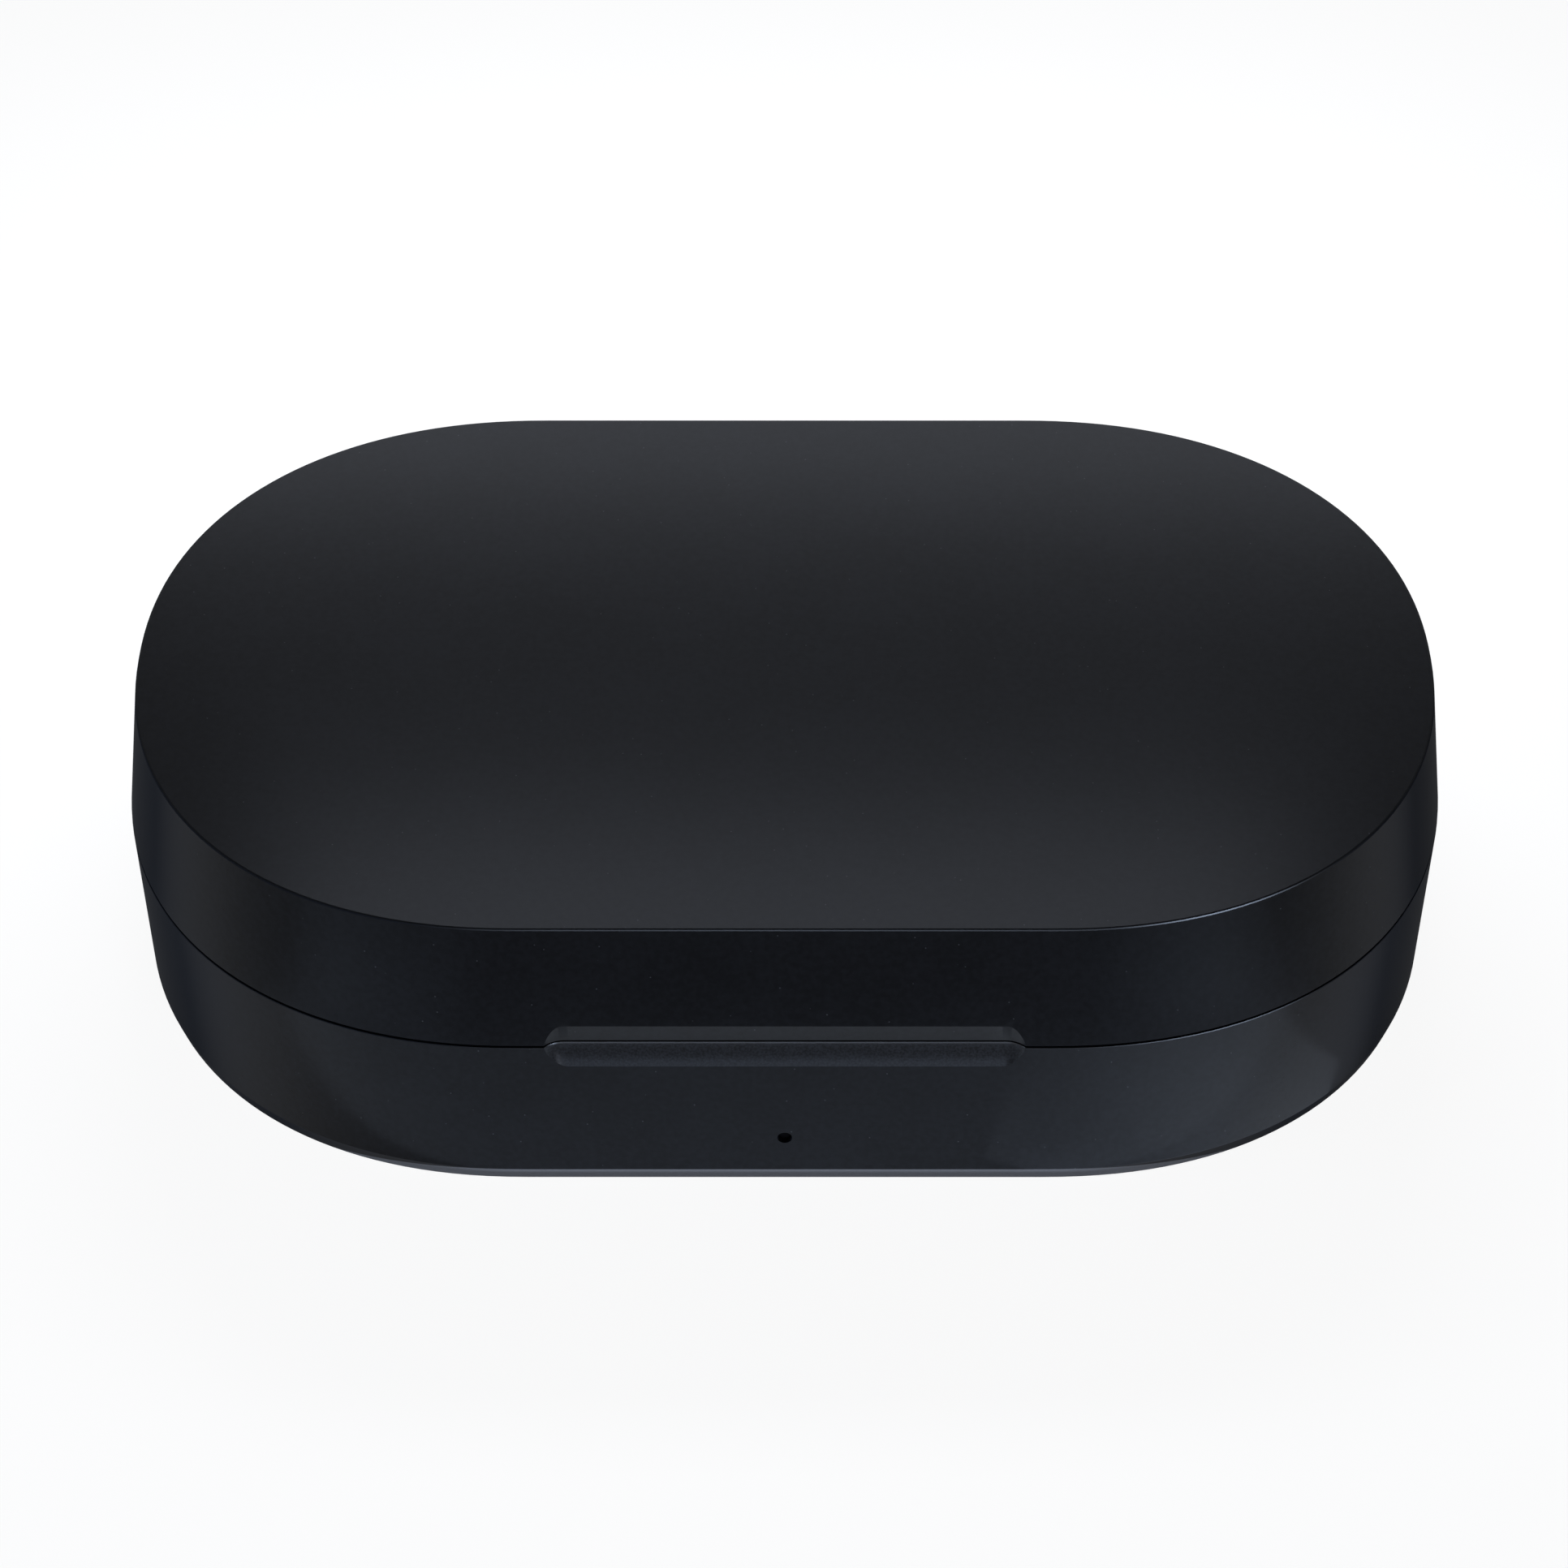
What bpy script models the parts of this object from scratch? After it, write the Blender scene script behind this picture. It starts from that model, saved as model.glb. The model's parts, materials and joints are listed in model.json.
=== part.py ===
"""Charging case for a pair of wireless earbuds: a flat pill-shaped box with a hinged lid.

The case lies flat. X runs along its length, -Y is its front and +Z is up. The origin is under
its middle, on the surface that it stands on. All sizes are in metres.
"""

import math

import bmesh
import bpy
from mathutils import Vector

# Outer shape
CASE_LENGTH = 0.0800
CASE_WIDTH = 0.0495
BASE_HEIGHT = 0.0115  # from the table to the parting line
LID_HEIGHT = 0.00835  # from the parting line to the top
STRAIGHT_RUN = 0.0304  # straight stretch of the front and of the back
END_SQUARENESS = 2.18  # power of the rounded ends, where 2 is an ellipse
LID_LEAN = 0.00104  # how far the lid's wall leans in by its top
BASE_LEAN = 0.0003  # how far the base's wall leans in by its foot
TOP_EDGE_RADIUS = 0.00025
BOTTOM_BEVEL_HEIGHT = 0.00103
BOTTOM_BEVEL_DEPTH = 0.0003
END_STEPS = 24
EDGE_STEPS = 3

# Shells
WALL = 0.0015
LID_ROOF = 0.0015
BASE_FLOOR = 0.0014
FLOOR_FILLET = 0.0008
SEAT_LEDGE = 0.0009  # step in the base's wall that carries the tray
PARTING_GAP = 0.0001
FIT_GAP = 0.0003  # at the sides of a piece that fits in another
REST_GAP = 0.0001  # under a piece that rests on another
CUT_MARGIN = 0.0010  # how far a cutter reaches past what it cuts

# Finger scoop across the parting line
SCOOP_LENGTH = 0.0277
SCOOP_HEIGHT = 0.00334
SCOOP_DEPTH = 0.00046
SCOOP_RISE = 0.00023  # how far the scoop's middle is above the parting line
SCOOP_END = 0.0011  # length of each rounded end
SCOOP_SEGMENTS = 48
SCOOP_END_RINGS = 8

# Indicator
INDICATOR_RADIUS = 0.00044
INDICATOR_HEIGHT = 0.0038
LIGHT_PIPE_SINK = 0.0003  # how far the pipe's tip lies inside the hole
LIGHT_PIPE_PLAY = 0.00006
LIGHT_PIPE_COLLAR = 0.0009
LIGHT_PIPE_LENGTH = 0.0014  # behind the wall

# Hinge
HINGE_DEPTH = 0.0019  # from the back of the case in to the axis
HINGE_RISE = 0.0029  # from the parting line up to the axis
BARREL_LENGTH = 0.0154
BARREL_SINK = 0.00013  # how far the barrel lies inside the back wall
EAR_LENGTH = 0.0034
EAR_RADIUS = 0.0013
PIN_RADIUS = 0.0007
PIN_PLAY = 0.00008
NECK_THICKNESS = 0.0014
FLANGE_DEPTH = 0.0062
FLANGE_THICKNESS = 0.0012
HINGE_BLOCK_HEIGHT = 0.0020
HINGE_BLOCK_BORDER = 0.0012
SEAM_STEPS = 8
ROUND_STEPS = 16

# Tray and wells
TRAY_DROP = 0.0006  # from the parting line down to the tray's top
TRAY_THICKNESS = 0.0012
ISLAND_WIDTH = 0.0170  # between the two wells
WELL_END_MARGIN = 0.0062  # from the end of the case to the well
WELL_SIDE_MARGIN = 0.0105  # from the front of the case to the well
WELL_SQUARENESS = 2.3
WELL_DRAFT = 0.0006
WELL_FLOOR_RADIUS = 0.0028
WELL_LIP = 0.0005
WELL_STEPS = 32
CUP_WALL = 0.0010
CUP_FLOOR = 0.0010
TIP_POCKET_RADIUS = 0.0060  # lobe of the well for the ear tip
TIP_POCKET_BACK = 0.0115  # from the middle of the case back to the lobe
TIP_POCKET_EDGE = 0.0006  # from the island to the lobe

# Lid liner
LINER_RISE = 0.0005  # from the parting line up to the liner
LINER_THICKNESS = 0.0010
LINER_POCKET_INSET = 0.0006  # how much smaller the hollow is than the well
LINER_CUP_WALL = 0.0008
LINER_ROOF_GAP = 0.0004

# Magnets
CLOSING_MAGNET = Vector((0.0080, 0.0026, 0.0016))
CLOSING_MAGNET_X = 0.0110
CLOSING_MAGNET_FRONT = 0.0040  # from the front of the case to the magnet
WELL_MAGNET_RADIUS = 0.0030
WELL_MAGNET_HEIGHT = 0.0014
WELL_MAGNET_X = 0.0050  # out from the middle of the well
WELL_MAGNET_Y = 0.0040

# Circuit board
BOARD_LIFT = 0.0011  # from the floor up to the board
BOARD_THICKNESS = 0.0008
BOARD_STRIP_WIDTH = 0.0200
BOARD_WING_REACH = 0.0225
BOARD_WING_WIDTH = 0.0070
BOARD_FRONT_GAP = 0.0004  # from the light pipe back to the board
BOARD_BACK_MARGIN = 0.0032
CUP_BOARD_GAP = 0.0005
BOARD_SCREW_X = 0.0076
BOARD_SCREW_FRONT = 0.0078  # from the front of the case to the front screws
BOARD_SCREW_BACK = 0.0082
BOSS_RADIUS = 0.0016

# Screws
SCREW_HEAD_RADIUS = 0.0011
SCREW_HEAD_HEIGHT = 0.0006
SCREW_HEAD_CHAMFER = 0.0002
SCREW_STEPS = 12
SCREW_SHANK_RADIUS = 0.0005
SCREW_PLAY = 0.0001
BOARD_SCREW_LENGTH = 0.0022
HINGE_SCREW_LENGTH = 0.0018
HINGE_SCREW_X = 0.0046
HINGE_SCREW_SETBACK = 0.0032  # from the neck forward to the screws
HEAD_SINK = 0.00065  # depth of the counterbore for a hinge screw's head

# Parts on the board
CHARGER_CHIP = Vector((0.0040, 0.0040, 0.0008))
CONTROLLER_CHIP = Vector((0.0030, 0.0030, 0.0008))
INDUCTOR = Vector((0.0030, 0.0030, 0.0010))
LID_SENSOR = Vector((0.0029, 0.0016, 0.0009))
INDICATOR_LED = Vector((0.0016, 0.0012, 0.0008))
CHARGER_CHIP_SETBACK = 0.0064  # from the front of the battery back to the chip
CONTROLLER_CHIP_SETBACK = 0.0129
INDUCTOR_SETBACK = 0.0199
LID_SENSOR_X = 0.0080
LID_SENSOR_FRONT = 0.0128  # from the front of the case back to the sensor
CHIP_BEVEL = 0.00012

# Battery
BATTERY_LENGTH = 0.0280
BATTERY_SIDE_GAP = 0.0005  # to the wells beside it and the hinge seat behind it
BATTERY_TOP_GAP = 0.0003
BATTERY_BEVEL = 0.0008
PAD_THICKNESS = 0.0003
PAD_BORDER = 0.0015
LEAD_RADIUS = 0.0004
LEAD_X = 0.0020
LEAD_REACH = 0.0022  # how far a lead runs out in front of the cell
LEAD_STEPS = 8

# Charging socket
SOCKET_WIDTH = 0.00894
SOCKET_HEIGHT = 0.00316
SOCKET_DEPTH = 0.0074
SOCKET_SKIN = 0.0003
SOCKET_BACK = 0.0008
SOCKET_SINK = 0.0004  # how far the mouth lies inside the back of the case
SOCKET_END_STEPS = 8
TONGUE_WIDTH = 0.0067
TONGUE_THICKNESS = 0.0007
TONGUE_SINK = 0.0008

# Contacts
CONTACT_X = -0.0040  # from the middle of the well
CONTACT_Y = -0.0055
CONTACT_SPACING = 0.0026
CONTACT_BLOCK_LENGTH = 0.0056
CONTACT_BLOCK_WIDTH = 0.0026
CONTACT_BLOCK_HEIGHT = 0.0026
CONTACT_CAP = 0.0004  # top of the block, which keeps the plunger in
PEDESTAL_HEIGHT = 0.0014
PEDESTAL_BORDER = 0.0010
PLUNGER_RADIUS = 0.0004
PLUNGER_FLANGE_RADIUS = 0.00052
PLUNGER_FLANGE_HEIGHT = 0.0005
PLUNGER_REACH = 0.0011  # how far the tip stands out of its block
CONTACT_PLAY = 0.0001
SPRING_WIRE_RADIUS = 0.00006
SPRING_TURNS = 3
SPRING_TURN_POINTS = 8

# Heights and places that follow from the sizes above
CASE_TOP = BASE_HEIGHT + LID_HEIGHT
HINGE_Y = CASE_WIDTH / 2 - HINGE_DEPTH
HINGE_Z = BASE_HEIGHT + HINGE_RISE
BARREL_RADIUS = HINGE_DEPTH - LID_LEAN * HINGE_RISE / LID_HEIGHT - BARREL_SINK
HINGE_SLOT = BARREL_LENGTH + 2 * FIT_GAP
NECK_BACK = CASE_WIDTH / 2 - WALL - FIT_GAP
FLANGE_FRONT = NECK_BACK - NECK_THICKNESS - FLANGE_DEPTH
TRAY_TOP = BASE_HEIGHT - TRAY_DROP
TRAY_UNDERSIDE = TRAY_TOP - TRAY_THICKNESS
LEDGE_HEIGHT = TRAY_UNDERSIDE - REST_GAP
FLANGE_SEAT = TRAY_TOP - FLANGE_THICKNESS - REST_GAP
BOARD_UNDERSIDE = BASE_FLOOR + BOARD_LIFT
BOARD_TOP = BOARD_UNDERSIDE + BOARD_THICKNESS
CHIP_SEAT = BOARD_TOP + REST_GAP
CUP_UNDERSIDE = BOARD_TOP + CUP_BOARD_GAP
WELL_FLOOR = CUP_UNDERSIDE + CUP_FLOOR
WELL_HALF_LENGTH = (CASE_LENGTH / 2 - WELL_END_MARGIN - ISLAND_WIDTH / 2) / 2
WELL_HALF_WIDTH = CASE_WIDTH / 2 - WELL_SIDE_MARGIN
WELL_X = ISLAND_WIDTH / 2 + WELL_HALF_LENGTH
TIP_POCKET_X = ISLAND_WIDTH / 2 + TIP_POCKET_EDGE + TIP_POCKET_RADIUS
LINER_UNDERSIDE = BASE_HEIGHT + LINER_RISE
LINER_TOP = LINER_UNDERSIDE + LINER_THICKNESS
LINER_CUP_TOP = CASE_TOP - LID_ROOF - LINER_ROOF_GAP
CLOSING_MAGNET_Y = -CASE_WIDTH / 2 + CLOSING_MAGNET_FRONT + CLOSING_MAGNET.y / 2
LIGHT_PIPE_SHOULDER = -CASE_WIDTH / 2 + WALL + SEAT_LEDGE + BASE_LEAN + REST_GAP
LIGHT_PIPE_BACK = LIGHT_PIPE_SHOULDER + LIGHT_PIPE_LENGTH
BOARD_FRONT = LIGHT_PIPE_BACK + BOARD_FRONT_GAP
BOARD_BACK = CASE_WIDTH / 2 - BOARD_BACK_MARGIN
PAD_SEAT = CHIP_SEAT + max(CHARGER_CHIP.z, CONTROLLER_CHIP.z, INDUCTOR.z) + REST_GAP
BATTERY_SEAT = PAD_SEAT + PAD_THICKNESS + REST_GAP
BATTERY_TOP = TRAY_UNDERSIDE - BATTERY_TOP_GAP
BATTERY_HALF_WIDTH = ISLAND_WIDTH / 2 - CUP_WALL - BATTERY_SIDE_GAP
BATTERY_BACK = FLANGE_FRONT - HINGE_BLOCK_BORDER - BATTERY_SIDE_GAP
BATTERY_FRONT = BATTERY_BACK - BATTERY_LENGTH
SOCKET_Z = CHIP_SEAT + SOCKET_HEIGHT / 2
CONTACT_BLOCK_TOP = CHIP_SEAT + CONTACT_BLOCK_HEIGHT
PLUNGER_TIP = CONTACT_BLOCK_TOP + PLUNGER_REACH
FLANGE_TOP_OF_PLUNGER = CONTACT_BLOCK_TOP - CONTACT_CAP - CONTACT_PLAY
FOOT_OF_PLUNGER = FLANGE_TOP_OF_PLUNGER - PLUNGER_FLANGE_HEIGHT
BORE_RADIUS = PLUNGER_FLANGE_RADIUS + CONTACT_PLAY

# Finishes: colour, roughness and metallic value
SHELL_BLACK = ((0.016, 0.016, 0.019), 0.48, 0.0)
INNER_BLACK = ((0.011, 0.011, 0.012), 0.60, 0.0)
STEEL = ((0.56, 0.56, 0.58), 0.30, 1.0)
NICKEL = ((0.66, 0.64, 0.60), 0.25, 1.0)
GOLD = ((0.83, 0.62, 0.28), 0.22, 1.0)
BOARD_GREEN = ((0.010, 0.070, 0.032), 0.45, 0.0)
CHIP_BLACK = ((0.020, 0.020, 0.021), 0.55, 0.0)
FERRITE = ((0.060, 0.058, 0.056), 0.70, 0.0)
LED_WHITE = ((0.85, 0.82, 0.62), 0.35, 0.0)
SMOKED_PIPE = ((0.012, 0.012, 0.014), 0.12, 0.0)
CELL_FILM = ((0.30, 0.31, 0.33), 0.35, 0.6)
PAD_FOAM = ((0.035, 0.035, 0.037), 0.95, 0.0)
LEAD_RED = ((0.42, 0.018, 0.015), 0.45, 0.0)
LEAD_BLACK = ((0.015, 0.015, 0.015), 0.45, 0.0)

SMOOTH_BELOW = math.radians(35)
CASE_COLLECTION = "earbuds_case"
CUTTER_COLLECTION = "cutters"
SIDES = (("left", -1), ("right", 1))


def clear_scene():
    for old in list(bpy.data.objects):
        bpy.data.objects.remove(old, do_unlink=True)
    for name in (CASE_COLLECTION, CUTTER_COLLECTION):
        bpy.context.scene.collection.children.link(bpy.data.collections.new(name))


def new_material(name, finish):
    colour, roughness, metallic = finish
    material = bpy.data.materials.new(name)
    material.use_nodes = True
    shader = material.node_tree.nodes["Principled BSDF"]
    shader.inputs["Base Color"].default_value = (*colour, 1)
    shader.inputs["Roughness"].default_value = roughness
    shader.inputs["Metallic"].default_value = metallic
    material.diffuse_color = (*colour, 1)
    return material


def make_part(obj, finish, parent=None):
    """Puts an object in the case, with its own material, and hangs it on a parent in place."""
    bpy.data.collections[CASE_COLLECTION].objects.link(obj)
    obj.data.materials.append(new_material(obj.name + "_finish", finish))
    if obj.type == "MESH":
        obj.data.shade_smooth()
        obj.data.set_sharp_from_angle(angle=SMOOTH_BELOW)
    if parent:
        hang_on(obj, parent)
    return obj


def make_cutter(obj):
    bpy.data.collections[CUTTER_COLLECTION].objects.link(obj)
    obj.hide_render = True
    obj.display_type = "WIRE"
    return obj


def hang_on(obj, parent):
    """Parents an object where it stands."""
    obj.parent = parent
    obj.matrix_parent_inverse = parent.matrix_world.inverted()


def combine(target, other, operation):
    """Cuts or joins another solid, which then moves with the piece that it shapes."""
    if target.parent:
        hang_on(other, target.parent)
    boolean = target.modifiers.new(f"{operation.lower()} {other.name}", "BOOLEAN")
    boolean.operation = operation
    boolean.solver = "EXACT"
    boolean.object = other


def cut(target, other):
    combine(target, other, "DIFFERENCE")


def join(target, other):
    combine(target, other, "UNION")


def object_from(name, bm, location=(0, 0, 0)):
    mesh = bpy.data.meshes.new(name)
    bmesh.ops.recalc_face_normals(bm, faces=bm.faces)
    bm.to_mesh(mesh)
    bm.free()
    obj = bpy.data.objects.new(name, mesh)
    obj.location = location
    return obj


def block(name, low, high, bevel=0):
    """Box between two corners, with its origin at its middle and its edges bevelled."""
    low, high = Vector(low), Vector(high)
    bm = bmesh.new()
    bmesh.ops.create_cube(bm, size=1)
    bmesh.ops.scale(bm, vec=high - low, verts=bm.verts)
    obj = object_from(name, bm, (low + high) / 2)
    if bevel:
        rounding = obj.modifiers.new("edges", "BEVEL")
        rounding.width = bevel
        rounding.segments = 2
    return obj


def rod(name, start, end, radius, steps=ROUND_STEPS):
    """Cylinder between two points, with its origin at its middle."""
    start, end = Vector(start), Vector(end)
    bm = bmesh.new()
    bmesh.ops.create_cone(
        bm, cap_ends=True, segments=steps, radius1=radius, radius2=radius, depth=(end - start).length
    )
    obj = object_from(name, bm, (start + end) / 2)
    obj.rotation_euler = (end - start).to_track_quat("Z", "Y").to_euler()
    return obj


def loft(name, rings):
    """Closed solid through rings of equally many points, capped at both ends."""
    bm = bmesh.new()
    loops = [[bm.verts.new(point) for point in ring] for ring in rings]
    for lower, upper in zip(loops, loops[1:]):
        for here in range(len(lower)):
            after = (here + 1) % len(lower)
            bm.faces.new((lower[here], lower[after], upper[after], upper[here]))
    bm.faces.new(reversed(loops[0]))
    bm.faces.new(loops[-1])
    return object_from(name, bm)


def turned(name, profile, location, steps=ROUND_STEPS):
    """Round piece about its own Z axis, from (radius, height) points that run down its outer side."""
    mesh = bpy.data.meshes.new(name)
    edges = [(here, here + 1) for here in range(len(profile) - 1)]
    mesh.from_pydata([(radius, 0, height) for radius, height in profile], edges, [])
    obj = bpy.data.objects.new(name, mesh)
    obj.location = location
    screw = obj.modifiers.new("turn", "SCREW")
    screw.steps = steps
    screw.render_steps = steps
    screw.use_merge_vertices = True
    screw.merge_threshold = 0.000001
    return obj


def extruded(name, outlines, thickness):
    """Flat plate in local XY from closed outlines, the later ones being holes."""
    curve = bpy.data.curves.new(name, "CURVE")
    curve.dimensions = "2D"
    curve.fill_mode = "BOTH"
    curve.extrude = thickness / 2
    for outline in outlines:
        spline = curve.splines.new("POLY")
        spline.points.add(len(outline) - 1)
        spline.use_cyclic_u = True
        for point, (x, y) in zip(spline.points, outline):
            point.co = (x, y, 0, 1)
    guide = bpy.data.objects.new(name + "_guide", curve)
    bpy.context.scene.collection.objects.link(guide)
    graph = bpy.context.evaluated_depsgraph_get()
    mesh = bpy.data.meshes.new_from_object(guide.evaluated_get(graph))
    bpy.data.objects.remove(guide, do_unlink=True)
    bm = bmesh.new()
    bm.from_mesh(mesh)
    bpy.data.meshes.remove(mesh)
    bmesh.ops.remove_doubles(bm, verts=bm.verts, dist=0.000001)
    return object_from(name, bm)


def wire(name, points, radius):
    """Round wire through points, with closed ends and its origin at its first point."""
    start = Vector(points[0])
    curve = bpy.data.curves.new(name, "CURVE")
    curve.dimensions = "3D"
    curve.bevel_depth = radius
    curve.bevel_resolution = 1
    curve.use_fill_caps = True
    spline = curve.splines.new("POLY")
    spline.points.add(len(points) - 1)
    for point, place in zip(spline.points, points):
        point.co = (*(Vector(place) - start), 1)
    obj = bpy.data.objects.new(name, curve)
    obj.location = start
    return obj


def rounded_power(value, squareness):
    return math.copysign(abs(value) ** (2 / squareness), value)


def pill(inset):
    """Outline of the case drawn in by inset: two straight runs and two squarish round ends."""
    reach_x = (CASE_LENGTH - STRAIGHT_RUN) / 2 - inset
    reach_y = CASE_WIDTH / 2 - inset
    points = []
    for side in (1, -1):
        for step in range(END_STEPS + 1):
            angle = math.pi * (step / END_STEPS - 0.5)
            x = STRAIGHT_RUN / 2 + reach_x * rounded_power(math.cos(angle), END_SQUARENESS)
            y = reach_y * rounded_power(math.sin(angle), END_SQUARENESS)
            points.append((side * x, side * y))
    return points


def pill_rings(stations):
    return [[(x, y, z) for x, y in pill(inset)] for inset, z in stations]


def bowl_rings(centre, half_length, half_width, squareness, stations):
    """Rings of a bowl about a centre, from (inset, height) pairs."""
    rings = []
    for inset, z in stations:
        ring = []
        for step in range(WELL_STEPS):
            angle = 2 * math.pi * step / WELL_STEPS
            x = centre[0] + (half_length - inset) * rounded_power(math.cos(angle), squareness)
            y = centre[1] + (half_width - inset) * rounded_power(math.sin(angle), squareness)
            ring.append((x, y, z))
        rings.append(ring)
    return rings


def lid_inset(z):
    return LID_LEAN * (z - BASE_HEIGHT) / LID_HEIGHT


def base_inset(z):
    if z > BASE_HEIGHT:
        return lid_inset(z)
    return BASE_LEAN * (BASE_HEIGHT - z) / BASE_HEIGHT


def turned_edge(inset, z, radius):
    """Stations round an edge, from the wall at z to the flat above it."""
    stations = []
    for step in range(1, EDGE_STEPS + 1):
        angle = math.pi / 2 * step / EDGE_STEPS
        stations.append((inset + radius * (1 - math.cos(angle)), z + radius * math.sin(angle)))
    return stations


def seam_arc(radius):
    """Quarter turn about the hinge axis, from straight below it to straight behind it, in (y, z)."""
    points = []
    for step in range(SEAM_STEPS + 1):
        angle = math.pi / 2 * step / SEAM_STEPS
        points.append((HINGE_Y + radius * math.sin(angle), HINGE_Z - radius * math.cos(angle)))
    return points


def across_case(name, outline):
    """Prism along X from a (y, z) outline, longer than the case."""
    prism = extruded(name, [outline], CASE_LENGTH + 2 * CUT_MARGIN)
    prism.rotation_euler = (math.pi / 2, 0, math.pi / 2)
    return make_cutter(prism)


def make_seam_cutters():
    """Cutters that part lid and base: level at the front, turning up about the hinge axis at the back."""
    half_gap = PARTING_GAP / 2
    far = CASE_WIDTH
    above = [(-far, BASE_HEIGHT - half_gap), *seam_arc(HINGE_RISE + half_gap)]
    above += [(above[-1][0], CASE_TOP), (-far, CASE_TOP)]
    below = [(-far, BASE_HEIGHT + half_gap), *seam_arc(HINGE_RISE - half_gap)]
    below += [(far, HINGE_Z), (far, 0), (-far, 0)]
    return across_case("space_above_seam", above), across_case("space_below_seam", below)


def make_scoop_cutter(name):
    """Long capsule in front of the case that dips into both shells at the parting line."""
    half_height = SCOOP_HEIGHT / 2
    radius = (half_height**2 + SCOOP_DEPTH**2) / (2 * SCOOP_DEPTH)
    middle = Vector((0, SCOOP_DEPTH - radius - CASE_WIDTH / 2, BASE_HEIGHT + SCOOP_RISE))
    half_run = SCOOP_LENGTH / 2 - SCOOP_END
    end_reach = radius * SCOOP_END / half_height
    stations = []
    for end in (-1, 1):
        for step in range(SCOOP_END_RINGS):
            turn = math.pi / 2 * step / SCOOP_END_RINGS
            stations.append((end * (half_run + end_reach * math.sin(turn)), radius * math.cos(turn)))
    rings = []
    for x, ring_radius in sorted(stations):
        ring = []
        for step in range(SCOOP_SEGMENTS):
            angle = 2 * math.pi * step / SCOOP_SEGMENTS
            offset = Vector((x, ring_radius * math.cos(angle), ring_radius * math.sin(angle)))
            ring.append(middle + offset)
        rings.append(ring)
    return make_cutter(loft(name, rings))


def make_lid_shell(lid_axis, space_below_seam):
    roof = CASE_TOP - LID_ROOF
    foot = BASE_HEIGHT - CUT_MARGIN
    shoulder = CASE_TOP - TOP_EDGE_RADIUS
    stations = [(WALL + lid_inset(roof), roof), (WALL + lid_inset(foot), foot), (lid_inset(foot), foot)]
    stations.append((lid_inset(shoulder), shoulder))
    stations += turned_edge(lid_inset(shoulder), shoulder, TOP_EDGE_RADIUS)
    shell = make_part(loft("lid_shell", pill_rings(stations)), SHELL_BLACK, lid_axis)
    for side_name, side in SIDES:
        inner = Vector((side * (HINGE_SLOT / 2 - CUT_MARGIN), HINGE_Y, HINGE_Z))
        outer = Vector((side * (HINGE_SLOT / 2 + EAR_LENGTH), HINGE_Y, HINGE_Z))
        join(shell, make_cutter(rod(f"{side_name}_ear", inner, outer, EAR_RADIUS)))
    slot_low = (-HINGE_SLOT / 2, HINGE_Y - EAR_RADIUS - CUT_MARGIN, foot - CUT_MARGIN)
    slot_high = (HINGE_SLOT / 2, CASE_WIDTH / 2 + CUT_MARGIN, HINGE_Z + BARREL_RADIUS + FIT_GAP)
    cut(shell, make_cutter(block("barrel_slot", slot_low, slot_high)))
    reach = HINGE_SLOT / 2 + EAR_LENGTH + CUT_MARGIN
    cut(shell, make_pin_bore("ear_bore", reach))
    cut(shell, space_below_seam)
    cut(shell, make_scoop_cutter("lid_scoop"))


def make_pin_bore(name, reach):
    start = (-reach, HINGE_Y, HINGE_Z)
    end = (reach, HINGE_Y, HINGE_Z)
    return make_cutter(rod(name, start, end, PIN_RADIUS + PIN_PLAY))


def make_base_shell(space_above_seam):
    rim = BASE_HEIGHT + HINGE_RISE / 2
    inner_foot = WALL + SEAT_LEDGE + BASE_LEAN
    stations = [(inner_foot + FLOOR_FILLET, BASE_FLOOR), (inner_foot, BASE_FLOOR + FLOOR_FILLET)]
    stations += [(WALL + SEAT_LEDGE, LEDGE_HEIGHT), (WALL, LEDGE_HEIGHT), (WALL + lid_inset(rim), rim)]
    stations += [(lid_inset(rim), rim), (0, BASE_HEIGHT)]
    bevel_inset = base_inset(BOTTOM_BEVEL_HEIGHT)
    stations += [(bevel_inset, BOTTOM_BEVEL_HEIGHT), (bevel_inset + BOTTOM_BEVEL_DEPTH, 0)]
    shell = make_part(loft("base_shell", pill_rings(stations)), SHELL_BLACK)
    cut(shell, space_above_seam)
    cut(shell, make_scoop_cutter("base_scoop"))
    outside = -CASE_WIDTH / 2 - CUT_MARGIN
    inside = -CASE_WIDTH / 2 + WALL + SEAT_LEDGE + CUT_MARGIN
    hole = rod(
        "indicator_hole", (0, outside, INDICATOR_HEIGHT), (0, inside, INDICATOR_HEIGHT), INDICATOR_RADIUS
    )
    cut(shell, make_cutter(hole))
    wall_depth = 2 * (WALL + SEAT_LEDGE + CUT_MARGIN)
    mouth_width = SOCKET_WIDTH + 2 * FIT_GAP
    mouth_height = SOCKET_HEIGHT + 2 * FIT_GAP
    mouth = make_cutter(stadium_prism("socket_hole", mouth_width, mouth_height, wall_depth))
    mouth.location = (0, CASE_WIDTH / 2, SOCKET_Z)
    cut(shell, mouth)
    for name, x, y in board_screw_places():
        boss_foot = BASE_FLOOR / 2
        boss = rod(name + "_boss", (x, y, boss_foot), (x, y, BOARD_UNDERSIDE - REST_GAP), BOSS_RADIUS)
        join(shell, make_cutter(boss))
        bore_foot = CHIP_SEAT - BOARD_SCREW_LENGTH - REST_GAP
        bore_radius = SCREW_SHANK_RADIUS + SCREW_PLAY
        bore = rod(name + "_bore", (x, y, bore_foot), (x, y, BOARD_TOP), bore_radius)
        cut(shell, make_cutter(bore))


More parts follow.
